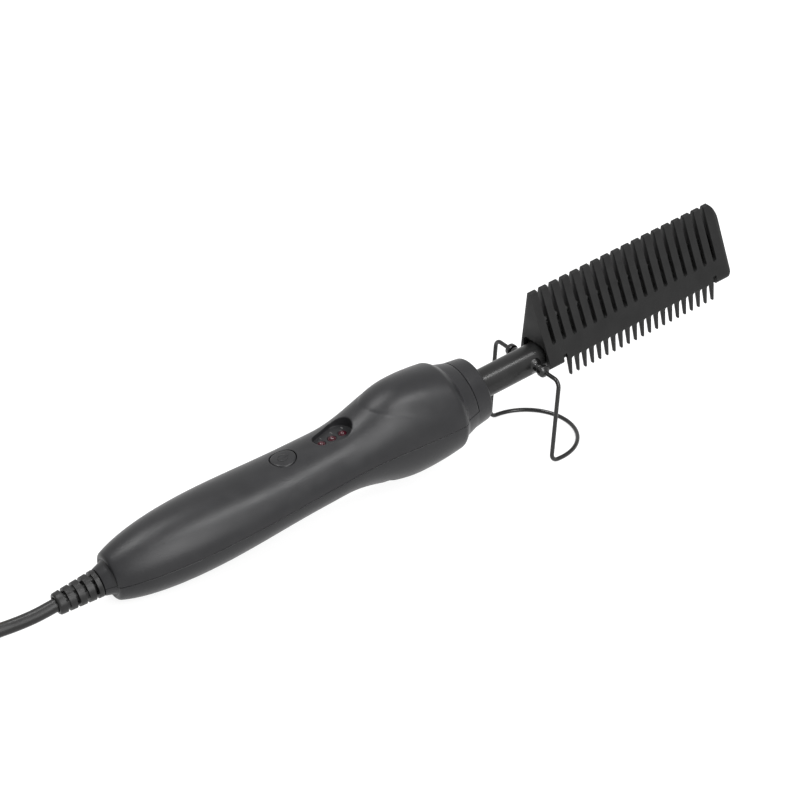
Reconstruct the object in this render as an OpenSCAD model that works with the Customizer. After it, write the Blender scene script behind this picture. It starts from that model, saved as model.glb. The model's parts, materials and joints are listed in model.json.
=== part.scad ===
// Electric hot comb with a folding wire stand, resting on the stand's foot
// and the belly of its handle.  Millimetres.
//
// Every piece is drawn along the barrel: the barrel's axis is X, the nose of
// the handle is at x = 0, the comb head is towards +X, the cord towards -X.
// stood() then tips the whole comb so that it rests on the ground plane z = 0.

/* [Handle] */
// Length of the handle from its nose to the rim of its tail
handle_length = 171.3; // [165:0.1:185]
// Width of the rim of the tail
tail_width = 17.8; // [16:0.1:20]
// Height of the rim of the tail
tail_height = 19.6; // [17:0.1:21]
// Width of the palm swell
palm_width = 34.2; // [33:0.1:38]
// Height of the palm swell
palm_height = 30.0; // [29:0.1:34]
// Width of the waist under the button
waist_width = 31.0; // [29.5:0.1:33]
// Height of the waist under the button
waist_height = 26.4; // [25.6:0.1:28]
// Width of the shoulder behind the nose
shoulder_width = 38.4; // [36:0.1:39]
// Height of the shoulder behind the nose
shoulder_height = 38.2; // [36:0.1:42]
// Height of the hooded bulge
bulge_height = 43.0; // [41:0.1:46]
// Diameter at the valley between shoulder and nose ring
valley_diameter = 33.2; // [31:0.1:34]
// Diameter of the nose ring at its seam
seam_diameter = 29.4; // [28.4:0.1:30.5]
// Diameter of the nose ring at its front
nose_diameter = 27.4; // [24:0.1:28]
// Length of the nose ring
ring_length = 7.6; // [6:0.1:9]
// Wall of the two shells
shell_wall = 2.2; // [1.8:0.1:2.4]
// Rounding of the rim of the tail
tail_lip = 1.2; // [0.5:0.1:2]

/* [Barrel] */
// Outer diameter of the barrel tube
barrel_diameter = 12.4; // [11.4:0.1:12.8]
// Wall of the barrel tube
barrel_wall = 0.7; // [0.5:0.1:1]
// How far the barrel shows between the nose and the comb head
barrel_showing = 32.2; // [31:0.1:44]
// How far the barrel reaches into the handle
barrel_tail = 44; // [43:0.5:48]

/* [Comb head] */
// Number of slots between the wide teeth
slot_count = 17; // [8:1:17]
// Pitch of the wide teeth
slot_pitch = 5.4; // [4.4:0.1:5.8]
// Width of each slot
slot_width = 2.0; // [1:0.1:2.4]
// Height of the bottom of the slots above the barrel's axis
slot_floor = 7.4; // [7.3:0.1:12]
// Length of the block before the first slot
head_first_block = 3.6; // [3.4:0.1:6]
// Length of the block after the last slot
head_last_block = 6.1; // [5:0.1:10]
// Height of the tooth tips above the barrel's axis
head_top = 30.9; // [26:0.1:34]
// Depth of the head's lower edge below the barrel's axis
head_drop = 2.6; // [2.5:0.1:4]
// Thickness of the wedge at the tooth tips
tip_thickness = 1.9; // [1.4:0.1:3]
// Width of the wedge at its lower edge
head_width = 22.0; // [21.4:0.1:23]
// Rounding of the head's far edge near the tooth tips
crown_radius = 11; // [9:0.5:14]
// How far below the tooth tips that rounding starts
crown_start = 8; // [4:0.5:8.5]
// Wall of the hollow wedge
head_wall = 1.9; // [1.6:0.1:2]

/* [Fine combs] */
// Number of teeth on each fine comb
fine_count = 21; // [9:1:21]
// Pitch of the fine teeth
fine_pitch = 3.84; // [3:0.01:3.9]
// Free length of the fine teeth
fine_length = 8.3; // [5:0.1:10]
// Width of a fine tooth at its root
fine_root = 2.0; // [1.4:0.1:2.4]
// Width of a fine tooth at its tip
fine_tip = 1.0; // [0.8:0.1:1.3]
// Thickness of the fine combs
fine_thickness = 1.4; // [1.3:0.1:1.6]
// Height of the tongue that holds a fine comb in the head
fine_bar = 2.4; // [2:0.1:3]
// Length of the head's foot at the barrel's end
foot_near = 7.1; // [6.6:0.1:9]
// Length of the head's foot at the far end
foot_far = 8.4; // [7.6:0.1:10]

/* [Button and lights] */
// Distance of the button's centre from the nose
button_at = 90.2; // [87:0.1:96]
// Diameter of the button
button_diameter = 10.6; // [8:0.1:11.4]
// Travel of the button
button_travel = 0.5; // [0.3:0.05:0.6]
// How far the button stands proud of the handle
button_proud = 0.1; // [0:0.1:0.6]
// Distance of the middle lamp from the nose
lamp_at = 67.6; // [66.8:0.1:68.2]
// Distance between the lamps
lamp_pitch = 5.0; // [4.4:0.1:5.2]
// Sideways offset of the row of lamps
lamp_offset = 0; // [-1:0.1:1]
// Diameter of a lamp
lamp_diameter = 3.0; // [2.5:0.1:3.2]
// Height of the floor of the lamp panel above the barrel's axis
panel_floor = 10.6; // [10.5:0.1:11.5]

/* [Stand] */
// Diameter of the stand's wire
wire_diameter = 1.8; // [1.4:0.1:2]
// Length of the stand's legs from pivot to foot
leg_length = 37.2; // [33:0.1:40]
// Backward lean of the legs when the stand is open
leg_lean = 12.7; // [6:0.1:16]
// Distance between the two legs' centre lines
leg_spread = 42.8; // [41.6:0.1:48]
// Straight stretch of the foot before its bow
foot_straight = 3.4; // [3:0.1:8]
// Distance of the pivot behind the comb head
pivot_setback = 4.4; // [4:0.1:8]
// Diameter of the pivot lugs and ferrules
lug_diameter = 5.2; // [4:0.1:6]

/* [Cord] */
// Diameter of the power cord
cord_diameter = 5.4; // [5:0.1:5.6]
// Length of the strain relief outside the handle
boot_length = 18.4; // [18:0.1:19]
// Diameter of the strain relief at the handle
boot_big = 11.3; // [11:0.1:12]
// Diameter of the strain relief at the cord
boot_small = 8.8; // [8.4:0.1:9.6]
// Straight runs of the folded cord between its two bends
hank_run = 50; // [46:1:54]
// Mean radius of the folded cord's bends
hank_bend = 20; // [19:0.5:21]

/* [Electronics] */
// Width of the control board
board_width = 19; // [17:0.5:19.5]
// Thickness of the control board
board_thickness = 1.6; // [1:0.1:1.8]
// Diameter of the shell screws
screw_diameter = 2.8; // [2.4:0.1:3]

/* [Hidden] */

$fn = 48;
cut = 0.5;          // how far a cutter reaches past a face
fit = 0.05;         // clearance of seats and running fits
gap = 0.3;          // clearance between pieces that move past each other

// ---- handle profile --------------------------------------------------------

palm_w_at = 118;    // widest and highest points of the palm, behind the nose
palm_h_at = 134;
waist_w_at = 62;    // narrowest and lowest stretches of the waist
waist_h_front = 71;
waist_h_back = 86;
bulge_at = 36;      // highest point of the bulge
shoulder_at = 17.2; // edge of the shoulder
valley_at = 13.8;   // valley in front of the shoulder
tail_w_power = 2.05; // fullness of the tail, seen from above and from the side
tail_h_power = 2.3;
bulge_power = 1.8;  // how late the bulge falls away to the shoulder
shoulder_power = 1.5;

function smooth(t) = let (u = min(max(t, 0), 1)) u * u * (3 - 2 * u);
function mix(a, b, t) = a + (b - a) * t;
function bow(s, r, power) =
  let (reach = pow(1 - pow(r, power), 1 / power))
  pow(1 - pow(s * reach, power), 1 / power);
function lip_inset(d) =
  let (e = handle_length - d)
  e >= tail_lip ? 0 : tail_lip - sqrt(tail_lip * tail_lip - pow(tail_lip - e, 2));

// radius-like size in front of the shoulder, where the handle is round
function shoulder_drop(d, size) =
  d >= valley_at
    ? mix(size, valley_diameter,
        pow((shoulder_at - d) / (shoulder_at - valley_at), shoulder_power))
    : mix(seam_diameter, valley_diameter, (d - ring_length) / (valley_at - ring_length));

function half_width(d) =
  (d >= palm_w_at
    ? palm_width * bow((d - palm_w_at) / (handle_length - palm_w_at),
        tail_width / palm_width, tail_w_power)
    : d >= waist_w_at
    ? mix(waist_width, palm_width, smooth((d - waist_w_at) / (palm_w_at - waist_w_at)))
    : d >= shoulder_at
    ? mix(shoulder_width, waist_width, smooth((d - shoulder_at) / (waist_w_at - shoulder_at)))
    : shoulder_drop(d, shoulder_width)) / 2 - lip_inset(d);

function half_height(d) =
  (d >= palm_h_at
    ? palm_height * bow((d - palm_h_at) / (handle_length - palm_h_at),
        tail_height / palm_height, tail_h_power)
    : d >= waist_h_back
    ? mix(waist_height, palm_height, smooth((d - waist_h_back) / (palm_h_at - waist_h_back)))
    : d >= bulge_at
    ? mix(bulge_height, waist_height, smooth((d - bulge_at) / (waist_h_front - bulge_at)))
    : d >= shoulder_at
    ? mix(bulge_height, shoulder_height,
        pow((bulge_at - d) / (bulge_at - shoulder_at), bulge_power))
    : shoulder_drop(d, shoulder_height)) / 2 - lip_inset(d);

// height of the skin over its middle plane
function skin(d, y, inset = 0) =
  (half_height(d) - inset) * sqrt(max(0, 1 - pow(y / (half_width(d) - inset), 2)));

// stations along the outside, close together where the profile turns quickly
outer_stations = concat(
  [for (i = [0 : 3]) handle_length - tail_lip * (1 - cos(30 * i))],
  [for (i = [1 : 10]) mix(handle_length - tail_lip, palm_w_at, pow(i / 10, 1.5))],
  [for (i = [1 : 17]) mix(palm_w_at, bulge_at, i / 17)],
  [for (i = [1 : 4]) mix(bulge_at, shoulder_at, i / 4)],
  [for (i = [1 : 4]) shoulder_at - (shoulder_at - valley_at) * sin(22.5 * i)],
  [ring_length]);

// half of an elliptical slice at distance d behind the nose; side is 1 or -1
arc_steps = 18;
function half_slice(d, inset, side) = [for (i = [0 : arc_steps])
  let (a = 180 * i / arc_steps)
  [-d, (half_width(d) - inset) * cos(a), side * (half_height(d) - inset) * sin(a)]];

// closed solid through a list of slices that all have the same number of points
module loft(slices, turn) {
  n = len(slices[0]);
  m = len(slices);
  sides = [for (i = [0 : m - 2]) for (j = [0 : n - 1])
    let (k = (j + 1) % n)
    each turn < 0
      ? [[i * n + j, i * n + k, (i + 1) * n + k], [i * n + j, (i + 1) * n + k, (i + 1) * n + j]]
      : [[i * n + j, (i + 1) * n + k, i * n + k], [i * n + j, (i + 1) * n + j, (i + 1) * n + k]]];
  first = [for (j = [0 : n - 1]) turn < 0 ? n - 1 - j : j];
  last = [for (j = [0 : n - 1]) (m - 1) * n + (turn < 0 ? j : n - 1 - j)];
  polyhedron([for (s = slices) each s], concat(sides, [first, last]), convexity = 6);
}

// the solid handle, one side of its middle plane
module handle_half(side) {
  loft([for (d = outer_stations) half_slice(d, 0, side)], side);
}

// hollow of one shell between two distances behind the nose
cavity_back = handle_length - 6.5;
cavity_front = valley_at + 0.6;
module cavity_half(side, from = cavity_back, to = cavity_front) {
  count = max(1, round((from - to) / 9));
  loft([for (i = [0 : count]) half_slice(mix(from, to, i / count), shell_wall, side)], side);
}

// ---- resting pose ------------------------------------------------------------

neck_length = 4.2;  // neck between the tail's rim and the strain relief
pivot_at = barrel_showing - pivot_setback;
wire_r = wire_diameter / 2;
heel_x = pivot_at - leg_length * sin(leg_lean);
heel_z = -leg_length * cos(leg_lean);
// slope of the ground under the handle's belly and the foot, seen along the barrel
function ground_slope(drop) = min([for (d = outer_stations)
  (drop - half_height(d)) / (heel_x + d)]);
first_slope = ground_slope(-heel_z + wire_r);
slope = ground_slope(-heel_z + wire_r * sqrt(1 + first_slope * first_slope));
rest_tilt = atan(slope);
tail_reach = handle_length + neck_length + boot_length;
head_length = head_first_block + slot_count * slot_pitch - (slot_pitch - slot_width)
  + head_last_block;
head_end = barrel_showing + head_length;
edge_round = 2;     // rounding of the head's lower edges
place_x = (tail_reach * cos(rest_tilt) + boot_small / 2 * sin(rest_tilt)
  - (head_end - edge_round) * cos(rest_tilt) - (head_drop - edge_round) * sin(rest_tilt)
  - edge_round) / 2;
place_z = -(heel_x * sin(rest_tilt) + heel_z * cos(rest_tilt)) + wire_r;

module stood() {
  translate([place_x, 0, place_z]) rotate([0, -rest_tilt, 0]) children();
}

// ---- small helpers -----------------------------------------------------------

// rod along X from x0 to x1
module rod_x(x0, x1, r1, r2 = -1) {
  translate([x0, 0, 0]) rotate([0, 90, 0]) cylinder(h = x1 - x0, r1 = r1, r2 = r2 < 0 ? r1 : r2);
}
// rod along Y from y0 to y1
module rod_y(y0, y1, r) {
  translate([0, y1, 0]) rotate([90, 0, 0]) cylinder(h = y1 - y0, r = r);
}
// rod along Z from z0 to z1
module rod_z(z0, z1, r) {
  translate([0, 0, z0]) cylinder(h = z1 - z0, r = r);
}
// box between two corners
module block(a, b) {
  translate(a) cube(b - a);
}
function unit(v) = v / norm(v);

// points of a way through corners, each corner rounded to radius bend in a few steps
bend_steps = 6;
function rounded(p, q, s, bend) =
  let (u = unit(p - q), v = unit(s - q), half = acos(u * v) / 2, turn = 180 - 2 * half,
    centre = q + unit(u + v) * bend / sin(half),
    a = q + u * bend / tan(half) - centre, b = q + v * bend / tan(half) - centre)
  [for (i = [0 : bend_steps]) let (t = turn * i / bend_steps)
    centre + (a * sin(turn - t) + b * sin(t)) / sin(turn)];
function way(points, bend) = [for (i = [0 : len(points) - 1])
  each i == 0 || i == len(points) - 1 ? [points[i]]
    : rounded(points[i - 1], points[i], points[i + 1], bend)];

// round tube along a route: its rings are carried along without twisting
function heading(route, i) =
  unit(route[min(i + 1, len(route) - 1)] - route[max(i - 1, 0)]);
function carried(route, i, a) = i == len(route) ? []
  : let (t = heading(route, i), b = unit(a - (a * t) * t))
    concat([[b, cross(t, b)]], carried(route, i + 1, b));
module tube(route, r, n) {
  t = heading(route, 0);
  axes = carried(route, 0, abs(t[0]) < 0.7 ? [1, 0, 0] : [0, 0, 1]);
  loft([for (i = [0 : len(route) - 1]) [for (k = [0 : n - 1])
    route[i] + r * (cos(360 * k / n) * axes[i][0] + sin(360 * k / n) * axes[i][1])]], 1);
}

// ---- handle shells -----------------------------------------------------------

neck_root = 7.0;    // radius of the neck at the rim
swivel_r = 4.2;     // sleeve of the strain relief inside the neck
collar_r = 7.0;     // swivel collar inside the tail
collar_x = -handle_length + 2.0;
collar_thickness = 2.5;
boss_r = 4.2;       // screw bosses that join the shells
boss_y = 8;
boss_inset = 28.3;  // from the handle's tail to the rear bosses
boss_back = handle_length - boss_inset;
boss_front = 50;
head_seat = 6;      // depth of the shell screws' head seats below the middle plane
post_r = 2.6;       // posts under the control board
post_y = 6.5;
board_top = 4.6;    // top face of the control board
board_low = board_top - board_thickness;
board_back = boss_back - boss_r - 4.8;
board_front = boss_front + boss_r + 1.8;
post_inset = 6;     // from each end of the board to its posts
rib_at = [31, 43];  // ribs that carry the barrel collar
rib_thickness = 2.5;
holder_r = 10;      // barrel collar where the ribs hold it
nose_face = 3;      // thickness of the nose's front wall
nose_hollow = 11;   // radius of the hollow inside the nose ring
panel_r = 6;        // lamp panel: large end, small end and their distance
panel_small_r = 3.5;
panel_run = 8;
panel_at = lamp_at - 3.1;
panel_pad = 1.8;    // thickness of the wall under the lamp panel
side_tuck = 0.03;   // how far the panel's straight sides lie inside the tangents of its ends
lamp_hole = lamp_diameter / 2 + gap;
button_hole = button_diameter / 2 + 0.25;
barrel_r = barrel_diameter / 2;
boot_r = boot_big / 2;
cord_r = cord_diameter / 2;

module half_space(side, x0, x1, reach) {
  block([x0, -reach, side > 0 ? 0 : -reach], [x1, reach, side > 0 ? reach : 0]);
}

// neck of the tail, chamber of the swivel collar and their bores
module tail_neck(side) {
  difference() {
    rod_x(-handle_length - neck_length, -handle_length + tail_lip, boot_r,
      neck_root + (neck_root - boot_r) * tail_lip / neck_length);
    half_space(-side, -handle_length - neck_length - cut, -handle_length + tail_lip + cut, 12);
  }
}
module tail_bores() {
  rod_x(-handle_length - neck_length - cut, -cavity_back + cut, swivel_r + fit);
  rod_x(collar_x - gap, collar_x + collar_thickness + gap, collar_r + gap);
}

// egg-shaped outline of the lamp panel, grown by a margin
module panel_outline(margin) {
  r = panel_r + margin;
  q = panel_small_r + margin;
  lean = asin((r - q) / panel_run);
  run = [-sin(lean), cos(lean)];
  near = (r - side_tuck) * run;
  far = [-panel_run, 0] + (q - side_tuck) * run;
  translate([-panel_at, 0]) {
    circle(r = r);
    translate([-panel_run, 0]) circle(r = q);
    polygon([near, far, [far[0], -far[1]], [near[0], -near[1]]]);
  }
}

function boss_reach(d, y, r) = skin(d, y + r) - 0.5;

module ribs(side) {
  for (d = rib_at) difference() {
    loft([for (e = [d + rib_thickness / 2, d - rib_thickness / 2])
      half_slice(e, shell_wall - 0.4, side)], side);
    rod_x(-d - rib_thickness, -d + rib_thickness, holder_r + fit);
  }
}

module upper_shell() {
  color("#3a3a3d") stood() {
    difference() {
      union() {
        difference() {
          handle_half(1);
          difference() {
            cavity_half(1);
            translate([0, 0, panel_floor - panel_pad])
              linear_extrude(height = bulge_height) panel_outline(panel_pad);
          }
          translate([0, 0, panel_floor]) linear_extrude(height = bulge_height) panel_outline(0);
          rod_x(-cavity_front - cut, -ring_length + cut, nose_hollow);
        }
        tail_neck(1);
        ribs(1);
        for (d = [boss_back, boss_front], s = [-1, 1])
          translate([-d, s * boss_y, 0]) rod_z(0, boss_reach(d, boss_y, boss_r - 1), boss_r - 1);
      }
      tail_bores();
      translate([-button_at, 0, 0]) rod_z(board_top, palm_height, button_hole);
      for (i = [-1 : 1]) translate([-lamp_at + i * lamp_pitch, lamp_offset, 0])
        rod_z(board_top, palm_height, lamp_hole);
      for (d = [boss_back, boss_front], s = [-1, 1])
        translate([-d, s * boss_y, 0]) rod_z(-cut, screw_reach + 1, screw_diameter / 2 + fit);
    }
  }
}

screw_reach = 7;    // how far the shell screws reach above the middle plane
ring_round = 1.2;   // rounding of the nose ring's front edge

module nose_ring() {
  rim = nose_diameter / 2 - ring_round;
  rotate([0, 90, 0]) rotate_extrude() {
    polygon([[barrel_r + fit, -nose_face], [barrel_r + fit, 0], [rim, 0], [rim, -ring_round],
      [nose_diameter / 2, -ring_round], [seam_diameter / 2, -ring_length],
      [nose_hollow, -ring_length], [nose_hollow, -nose_face]]);
    translate([rim, -ring_round]) circle(r = ring_round);
  }
}

module lower_shell() {
  color("#3a3a3d") stood() {
    difference() {
      union() {
        difference() {
          handle_half(-1);
          cavity_half(-1);
          rod_x(-cavity_front - cut, -ring_length + cut, nose_hollow);
        }
        tail_neck(-1);
        nose_ring();
        ribs(-1);
        for (d = [boss_back, boss_front], s = [-1, 1])
          translate([-d, s * boss_y, 0]) rod_z(-boss_reach(d, boss_y, boss_r), 0, boss_r);
        for (d = [board_back - post_inset, board_front + post_inset], s = [-1, 1])
          translate([-d, s * post_y, 0]) rod_z(-boss_reach(d, post_y, post_r), board_low, post_r);
        block([-contact_back, -contact_half, -boss_reach(contact_back, contact_half, 0)],
          [-contact_front, contact_half, -contact_half]);
      }
      tail_bores();
      for (d = [boss_back, boss_front], s = [-1, 1]) translate([-d, s * boss_y, 0]) {
        rod_z(-cut - head_seat, cut, screw_diameter / 2 + fit);
        rod_z(-bulge_height, -head_seat, screw_head_r + gap);
      }
      for (d = [board_back - post_inset, board_front + post_inset], s = [-1, 1])
        translate([-d, s * post_y, 0]) rod_z(board_low - post_bore, board_low + cut, post_screw_r + fit);
    }
  }
}

screw_head_r = 2.5;
screw_head = 2;
post_screw_r = 1.0;
post_bore = 7;

module shell_screws() {
  color("silver") stood()
    for (d = [boss_back, boss_front], s = [-1, 1]) translate([-d, s * boss_y, 0]) difference() {
      union() {
        rod_z(-head_seat, screw_reach, screw_diameter / 2);
        rod_z(-head_seat - screw_head, -head_seat, screw_head_r);
      }
      for (a = [0, 90]) rotate([0, 0, a])
        block([-1.5, -0.3, -head_seat - screw_head - cut], [1.5, 0.3, -head_seat - 1]);
    }
}

// ---- button, switch and board --------------------------------------------------

button_top = skin(button_at, 0) + button_proud;
flange_top = skin(button_at, button_diameter / 2 + 1.2, shell_wall) - gap;
flange_low = flange_top - 0.7;
switch_half = 3.1;
switch_top = flange_low - button_travel - gap;
plunger_r = 1.7;
crown_r = 20;       // the button's face follows the handle's round back

module power_button() {
  color("#303033") stood() translate([-button_at, 0, 0]) {
    rod_z(flange_low, flange_top, button_diameter / 2 + 1);
    intersection() {
      rod_z(flange_low, button_top + cut, button_diameter / 2);
      translate([0, 0, button_top - crown_r])
        rod_x(-button_diameter, button_diameter, crown_r, crown_r, $fn = 96);
    }
  }
}

module switch_body() {
  color("#222222") stood() translate([-button_at, 0, 0]) difference() {
    block([-switch_half, -switch_half, board_top], [switch_half, switch_half, switch_top]);
    rod_z(board_top + 0.6, switch_top + cut, plunger_r + fit);
  }
}

module switch_plunger() {
  color("#b8a060") stood() translate([-button_at, 0, 0])
    rod_z(board_top + 0.6 + button_travel + gap, flange_low, plunger_r);
}

module control_board() {
  color("#1f6b3a") stood() difference() {
    block([-board_back, -board_width / 2, board_low], [-board_front, board_width / 2, board_top]);
    for (d = [board_back - post_inset, board_front + post_inset], s = [-1, 1])
      translate([-d, s * post_y, 0]) rod_z(board_low - cut, board_top + cut, post_screw_r + fit);
  }
}

module board_screws() {
  color("silver") stood()
    for (d = [board_back - post_inset, board_front + post_inset], s = [-1, 1])
      translate([-d, s * post_y, 0]) {
        rod_z(board_low - post_bore + 1, board_top, post_screw_r);
        rod_z(board_top, board_top + 1.4, 1.9);
      }
}

holder_top = 7.6;
lamp_top = panel_floor + 0.4;

module lamp_holder() {
  color("#1a1a1a") stood()
    block([-lamp_at - lamp_pitch - 2.4, lamp_offset - 2.4, board_top],
      [-lamp_at + lamp_pitch + 2.4, lamp_offset + 2.4, holder_top]);
}

module lamp(i) {
  r = lamp_diameter / 2;
  color("#6b1522") stood() translate([-lamp_at + i * lamp_pitch, lamp_offset, 0]) {
    rod_z(holder_top, holder_top + 1, r + 0.4);
    rod_z(holder_top + 1, lamp_top - r, r);
    translate([0, 0, lamp_top - r]) sphere(r = r, $fn = 32);
  }
}
module lamp_1() { lamp(-1); }
module lamp_2() { lamp(0); }
module lamp_3() { lamp(1); }

relay_half = 9;
relay_width = 10;
capacitor_r = 5;
capacitor_length = 12;
relay_at = board_back - relay_half - 9;
capacitor_at = relay_at - relay_half - capacitor_r - 2;
chip_half = 3;
chip_at = button_at - switch_half - chip_half - 1.5;

module relay() {
  color("#2b4c8c") stood() translate([-relay_at, 0, 0])
    block([-relay_half, -relay_width / 2, board_low - relay_half],
      [relay_half, relay_width / 2, board_low]);
}

module capacitor() {
  color("#26324a") stood() translate([-capacitor_at, 0, board_low - capacitor_r])
    rod_y(-capacitor_length / 2, capacitor_length / 2, capacitor_r);
}

module controller_chip() {
  color("#151515") stood() translate([-chip_at, 0, board_top])
    block([-chip_half, -chip_half, 0], [chip_half, chip_half, 1.6]);
}

// ---- barrel and heater ----------------------------------------------------------

head_screw_r = 1.0; // screws that hold the head on the barrel
head_screw_reach = 6; // how far they reach above the slots' floor
barrel_end = head_end - 6;
bore_r = barrel_r - barrel_wall;

module barrel_tube() {
  color("#2a2a2c") stood() difference() {
    rod_x(-barrel_tail, barrel_end, barrel_r);
    rod_x(-barrel_tail - cut, barrel_end + cut, bore_r);
    for (x = head_screw_x) translate([x, 0, 0])
      rod_z(-barrel_r - cut, barrel_r + cut, head_screw_r + fit);
  }
}

module barrel_collar() {
  color("#e8e2d0") stood() difference() {
    union() {
      rod_x(-rib_at[1] - rib_thickness / 2, -rib_at[0] + rib_thickness / 2, holder_r);
      rod_x(-rib_at[1] + rib_thickness / 2 + fit, -rib_at[0] - rib_thickness / 2 - fit, holder_r + 2);
    }
    rod_x(-rib_at[1] - rib_thickness, -rib_at[0] + rib_thickness, barrel_r + fit);
  }
}

module barrel_end_cap() {
  color("#e8e2d0") stood() {
    rod_x(barrel_end - 2.5, barrel_end, bore_r - fit);
    rod_x(barrel_end, barrel_end + 1, barrel_r);
  }
}

heater_back = 48;
heater_front = 112;
heater_half_y = 4;
heater_half_z = 1.5;

module heater_core() {
  color("#f0f0ea") stood()
    block([heater_back, -heater_half_y, -heater_half_z], [heater_front, heater_half_y, heater_half_z]);
}

module heat_spreader(side) {
  color("#c8c8cc") stood() intersection() {
    rod_x(heater_back, heater_front, bore_r - fit);
    block([heater_back - cut, -barrel_r, side > 0 ? heater_half_z : -barrel_r],
      [heater_front + cut, barrel_r, side > 0 ? barrel_r : -heater_half_z]);
  }
}
module heat_spreader_upper() { heat_spreader(1); }
module heat_spreader_lower() { heat_spreader(-1); }

fuse_r = 1.5;
fuse_back = 11;
fuse_front = 0;
fuse_y = head_screw_r + fuse_r + gap;
module thermal_fuse() {
  color("#c9b68a") stood() translate([0, -fuse_y, 0])
    rod_x(heater_back - fuse_back, heater_back - fuse_front, fuse_r);
}

module temperature_sensor() {
  color("#7a1c1c") stood() translate([heater_back - sensor_r, 0, sensor_z])
    sphere(r = sensor_r, $fn = 32);
}

lead_r = 0.6;
lead_y = 2.8;
lead_bend = 9;
wire_z = board_low - lead_r;
lead_x = -board_front - 3;
inside_x = -barrel_tail + 6;
sensor_r = 1.2;
sensor_z = -2.6;
module heater_leads() {
  color("#d8d8d8") stood() {
    tube(way([[heater_back, lead_y, lead_r], [inside_x, lead_y, lead_r], [lead_x, lead_y, wire_z]],
      lead_bend), lead_r, 8);
    tube(way([[heater_back - fuse_back, -fuse_y, 0], [inside_x, -lead_y, lead_r],
      [lead_x, -lead_y, wire_z]], lead_bend), lead_r, 8);
  }
}

sensor_lead_r = 0.4;
module sensor_leads() {
  y = sensor_r + sensor_lead_r + fit;
  color("#9a2a2a") stood() for (s = [-1, 1])
    tube(way([[heater_back, s * y, sensor_z], [inside_x, s * y, sensor_z],
      [lead_x, s * y, board_low - sensor_lead_r]], lead_bend), sensor_lead_r, 8);
}

// ---- comb head --------------------------------------------------------------------

head_back = barrel_showing;
side_lean = (head_width / 2 - tip_thickness / 2) / (head_top + head_drop);
function wedge_half(z) = tip_thickness / 2 + (head_top - z) * side_lean;
first_slot = head_back + head_first_block + slot_width / 2;
head_screw_x = [first_slot + slot_pitch / 2,
  first_slot + (slot_count - 1.5) * slot_pitch];
hollow_low = slot_floor + 2;
hollow_top = head_top - 13;   // the teeth above the hollow are solid
row_back = head_back + foot_near;
row_front = head_end - foot_far;
row_middle = (row_back + row_front) / 2;
row_half = (fine_count - 1) * fine_pitch / 2 + fine_root / 2;
fine_seat = -0.4;   // lower edge of the walls between the feet
fine_web = 0.6;     // bar between the seat and the gaps of the fine teeth
fine_outer = wedge_half(fine_seat) - 0.1;
fine_plane = fine_outer - fine_thickness;
tongue_thickness = 0.6;
notch_height = 1.7; // notches between the feet and the fine combs

// the wedge seen along the barrel, its lower edges rounded
module wedge_outline() {
  mid = edge_round - head_drop;
  c = wedge_half(mid) - edge_round * sqrt(1 + side_lean * side_lean);
  lean = atan(side_lean);
  low = [for (i = [0 : 8]) let (a = lean - (90 + lean) * i / 8)
    [c + edge_round * cos(a), mid + edge_round * sin(a)]];
  polygon(concat([[-tip_thickness / 2, head_top], [tip_thickness / 2, head_top]], low,
    [for (i = [8 : -1 : 0]) [-low[i][0], low[i][1]]]));
}

// the head seen from its side, with its rounded upper far corner
module side_outline() {
  intersection() {
    translate([head_back, -head_drop - cut]) square([head_length, head_top + head_drop + cut]);
    union() {
      translate([head_back, -head_drop - cut])
        square([head_length, head_top - crown_start + head_drop + cut]);
      translate([head_back, -head_drop - cut])
        square([head_length - crown_radius, head_top + head_drop + cut]);
      translate([head_end - crown_radius, head_top - crown_start]) circle(r = crown_radius, $fn = 96);
    }
  }
}

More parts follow.
